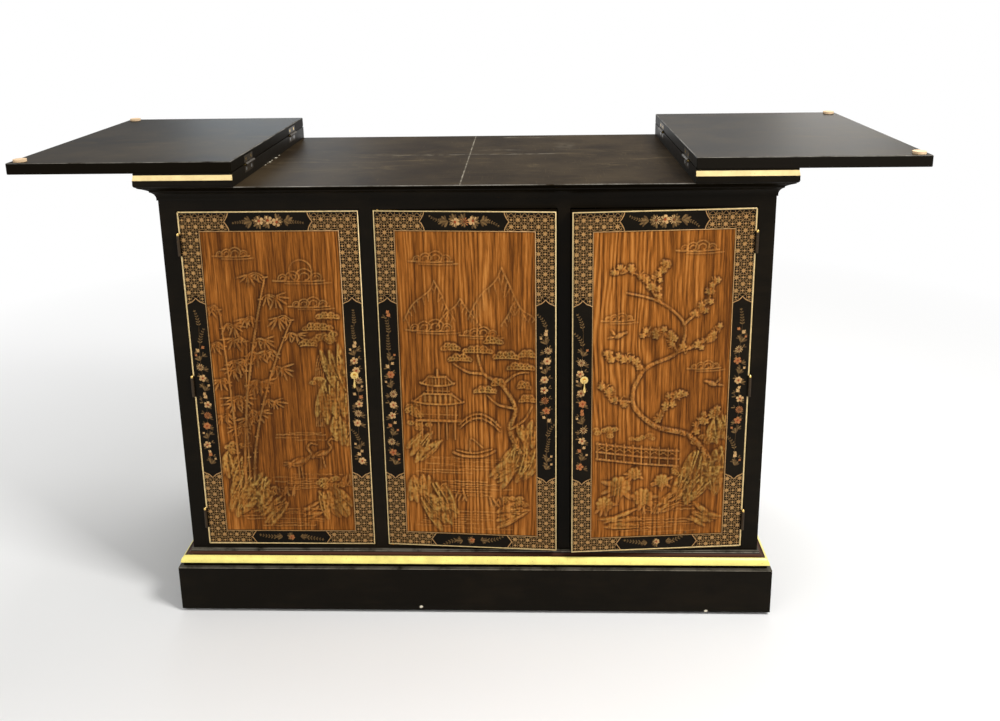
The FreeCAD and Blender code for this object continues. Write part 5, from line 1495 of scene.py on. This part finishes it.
def carved_panel(door, carving):
    """The panel with its relief as one closed piece, in place of the plain one."""
    height, deep, high, gilded = carving.finished()
    rows, columns = height.shape
    grid_u, grid_w = np.meshgrid(carving.u + PANEL_SIDE, carving.w + PANEL_FOOT)
    front = np.stack([grid_u, grid_w, height - PANEL_SUNK], 2).reshape(-1, 3)
    index = np.arange(rows * columns).reshape(rows, columns)
    faces = np.stack(
        [index[:-1, :-1], index[:-1, 1:], index[1:, 1:], index[1:, :-1]], 2
    ).reshape(-1, 4)
    rim = np.concatenate([index[0, :], index[1:, -1], index[-1, -2::-1], index[-2:0:-1, 0]])
    back = front[rim].copy()
    back[:, 2] = -PANEL_BACK
    start = len(front)
    ring = np.arange(len(rim))
    after = np.roll(ring, -1)
    walls = np.stack([rim[after], rim[ring], start + ring, start + after], 1)
    mesh = bpy.data.meshes.new("panel")
    everything = [*faces.tolist(), *walls.tolist(), (start + ring[::-1]).tolist()]
    mesh.from_pydata(np.concatenate([front, back]).tolist(), [], everything)
    smooth = np.zeros(len(everything), bool)
    smooth[: len(faces)] = True
    mesh.polygons.foreach_set("use_smooth", smooth)
    # The carve colour holds painted shade in red, painted highlight in green and gilt in blue.
    colour = np.zeros((len(mesh.vertices), 4))
    colour[:start, :3] = np.stack([deep, high, gilded], 2).reshape(-1, 3)
    colour[:, 3] = 1.0
    store(mesh, "carve", colour)
    mesh.materials.append(WOOD[door])
    hang(mesh, door, 0.0)
    piece = show(f"{door}_carved_panel", mesh, f"{door}_door")
    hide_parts(f"{door}_door_panel")


# The studio.
CAMERA_SPOT = (0.11308, -1.75, 1.15987)
CAMERA_YAW = math.radians(-1.93)
CAMERA_PITCH = math.radians(13.43)
CAMERA_ROLL = math.radians(-0.88)
CAMERA_LENS = 0.9165 * 36
CAMERA_SHIFT = -0.16
FLOOR_HALF = 14.0
WHITE = (1.0, 1.0, 1.0, 1.0)


def camera():
    data = bpy.data.cameras.new("camera")
    data.sensor_width = 36
    data.lens = CAMERA_LENS
    data.shift_y = CAMERA_SHIFT
    eye = placed("camera", data)
    flat = math.cos(CAMERA_PITCH)
    ahead = Vector((math.sin(CAMERA_YAW) * flat, math.cos(CAMERA_YAW) * flat, -math.sin(CAMERA_PITCH)))
    level = Vector((math.cos(CAMERA_YAW), -math.sin(CAMERA_YAW), 0.0))
    up = level.cross(ahead)
    right = level * math.cos(CAMERA_ROLL) + up * math.sin(CAMERA_ROLL)
    top = up * math.cos(CAMERA_ROLL) - level * math.sin(CAMERA_ROLL)
    turn = Matrix((right, top, -ahead)).transposed()
    eye.matrix_world = Matrix.Translation(CAMERA_SPOT) @ turn.to_4x4()
    bpy.context.scene.camera = eye


def lamp(name, spot, aim, size, power, colour=(1.0, 1.0, 1.0)):
    data = bpy.data.lights.new(name, "AREA")
    data.shape = "SQUARE"
    data.size = size
    data.energy = power
    data.color = colour
    light = placed(name, data)
    light.visible_camera = False
    light.location = spot
    light.rotation_euler = (Vector(aim) - Vector(spot)).to_track_quat("-Z", "Y").to_euler()


def pale_floor():
    """A floor that fades into the white of the room."""
    f = Finish("pale_floor")
    away = f.node("ShaderNodeVectorMath", {0: f.place()}, "Value", operation="LENGTH")
    pale = f.mix(f.noise(3.0, 2.0), tone(240, 239, 237), tone(243, 242, 240))
    looks = {"Base Color": pale, "Roughness": 0.8, "Specular IOR Level": 0.2}
    matt = f.node("ShaderNodeBsdfPrincipled", looks)
    white = f.node("ShaderNodeEmission", {"Color": WHITE, "Strength": 1.0})
    both = f.node("ShaderNodeMixShader", {0: f.seen() * away.within(0.9, 2.4), 1: matt, 2: white})
    f.node("ShaderNodeOutputMaterial", {"Surface": both})
    mesh = bpy.data.meshes.new("floor")
    corners = [(-1, -1), (1, -1), (1, 1), (-1, 1)]
    mesh.from_pydata([(x * FLOOR_HALF, y * FLOOR_HALF, 0) for x, y in corners], [], [(0, 1, 2, 3)])
    mesh.materials.append(f.material)
    floor_piece = placed("floor", mesh)


def room_light():
    """White where it is seen, and half as strong as a light."""
    world = bpy.data.worlds.new("studio")
    bpy.context.scene.world = world
    world.use_nodes = True
    world.node_tree.nodes.clear()
    net = Net(world.node_tree)
    soft, white = (net.node("ShaderNodeBackground", {"Color": WHITE, "Strength": v}) for v in (0.5, 1.0))
    both = net.node("ShaderNodeMixShader", {0: net.seen(), 1: soft, 2: white})
    net.node("ShaderNodeOutputWorld", {"Surface": both})


dress_nodes()
for door in DOORS:
    lattice(door)
    border_lines(door)
    sprays(door)
carved_panel("left", carve_left())
carved_panel("middle", carve_middle())
carved_panel("right", carve_right())
camera()
pale_floor()
room_light()
lamp("key", (1.4, -1.2, 2.4), (0.0, -0.1, 0.65), 0.7, 61.0)
lamp("fill", (-2.0, -2.6, 1.5), (0.0, 0.0, 0.6), 1.8, 16.0)
lamp("above", (0.2, 0.9, 2.6), (0.0, 0.0, 0.8), 1.6, 25.0)
lamp("left_window", (-1.1, 2.6, 1.45), (-0.3, 0.0, 0.8), 0.8, 7.0, (0.8, 0.91, 1.0))
lamp("right_window", (1.5, 2.3, 1.3), (0.6, -0.1, 0.87), 0.5, 3.0, (1.0, 0.98, 0.94))
bpy.context.scene.view_settings.view_transform = "Standard"
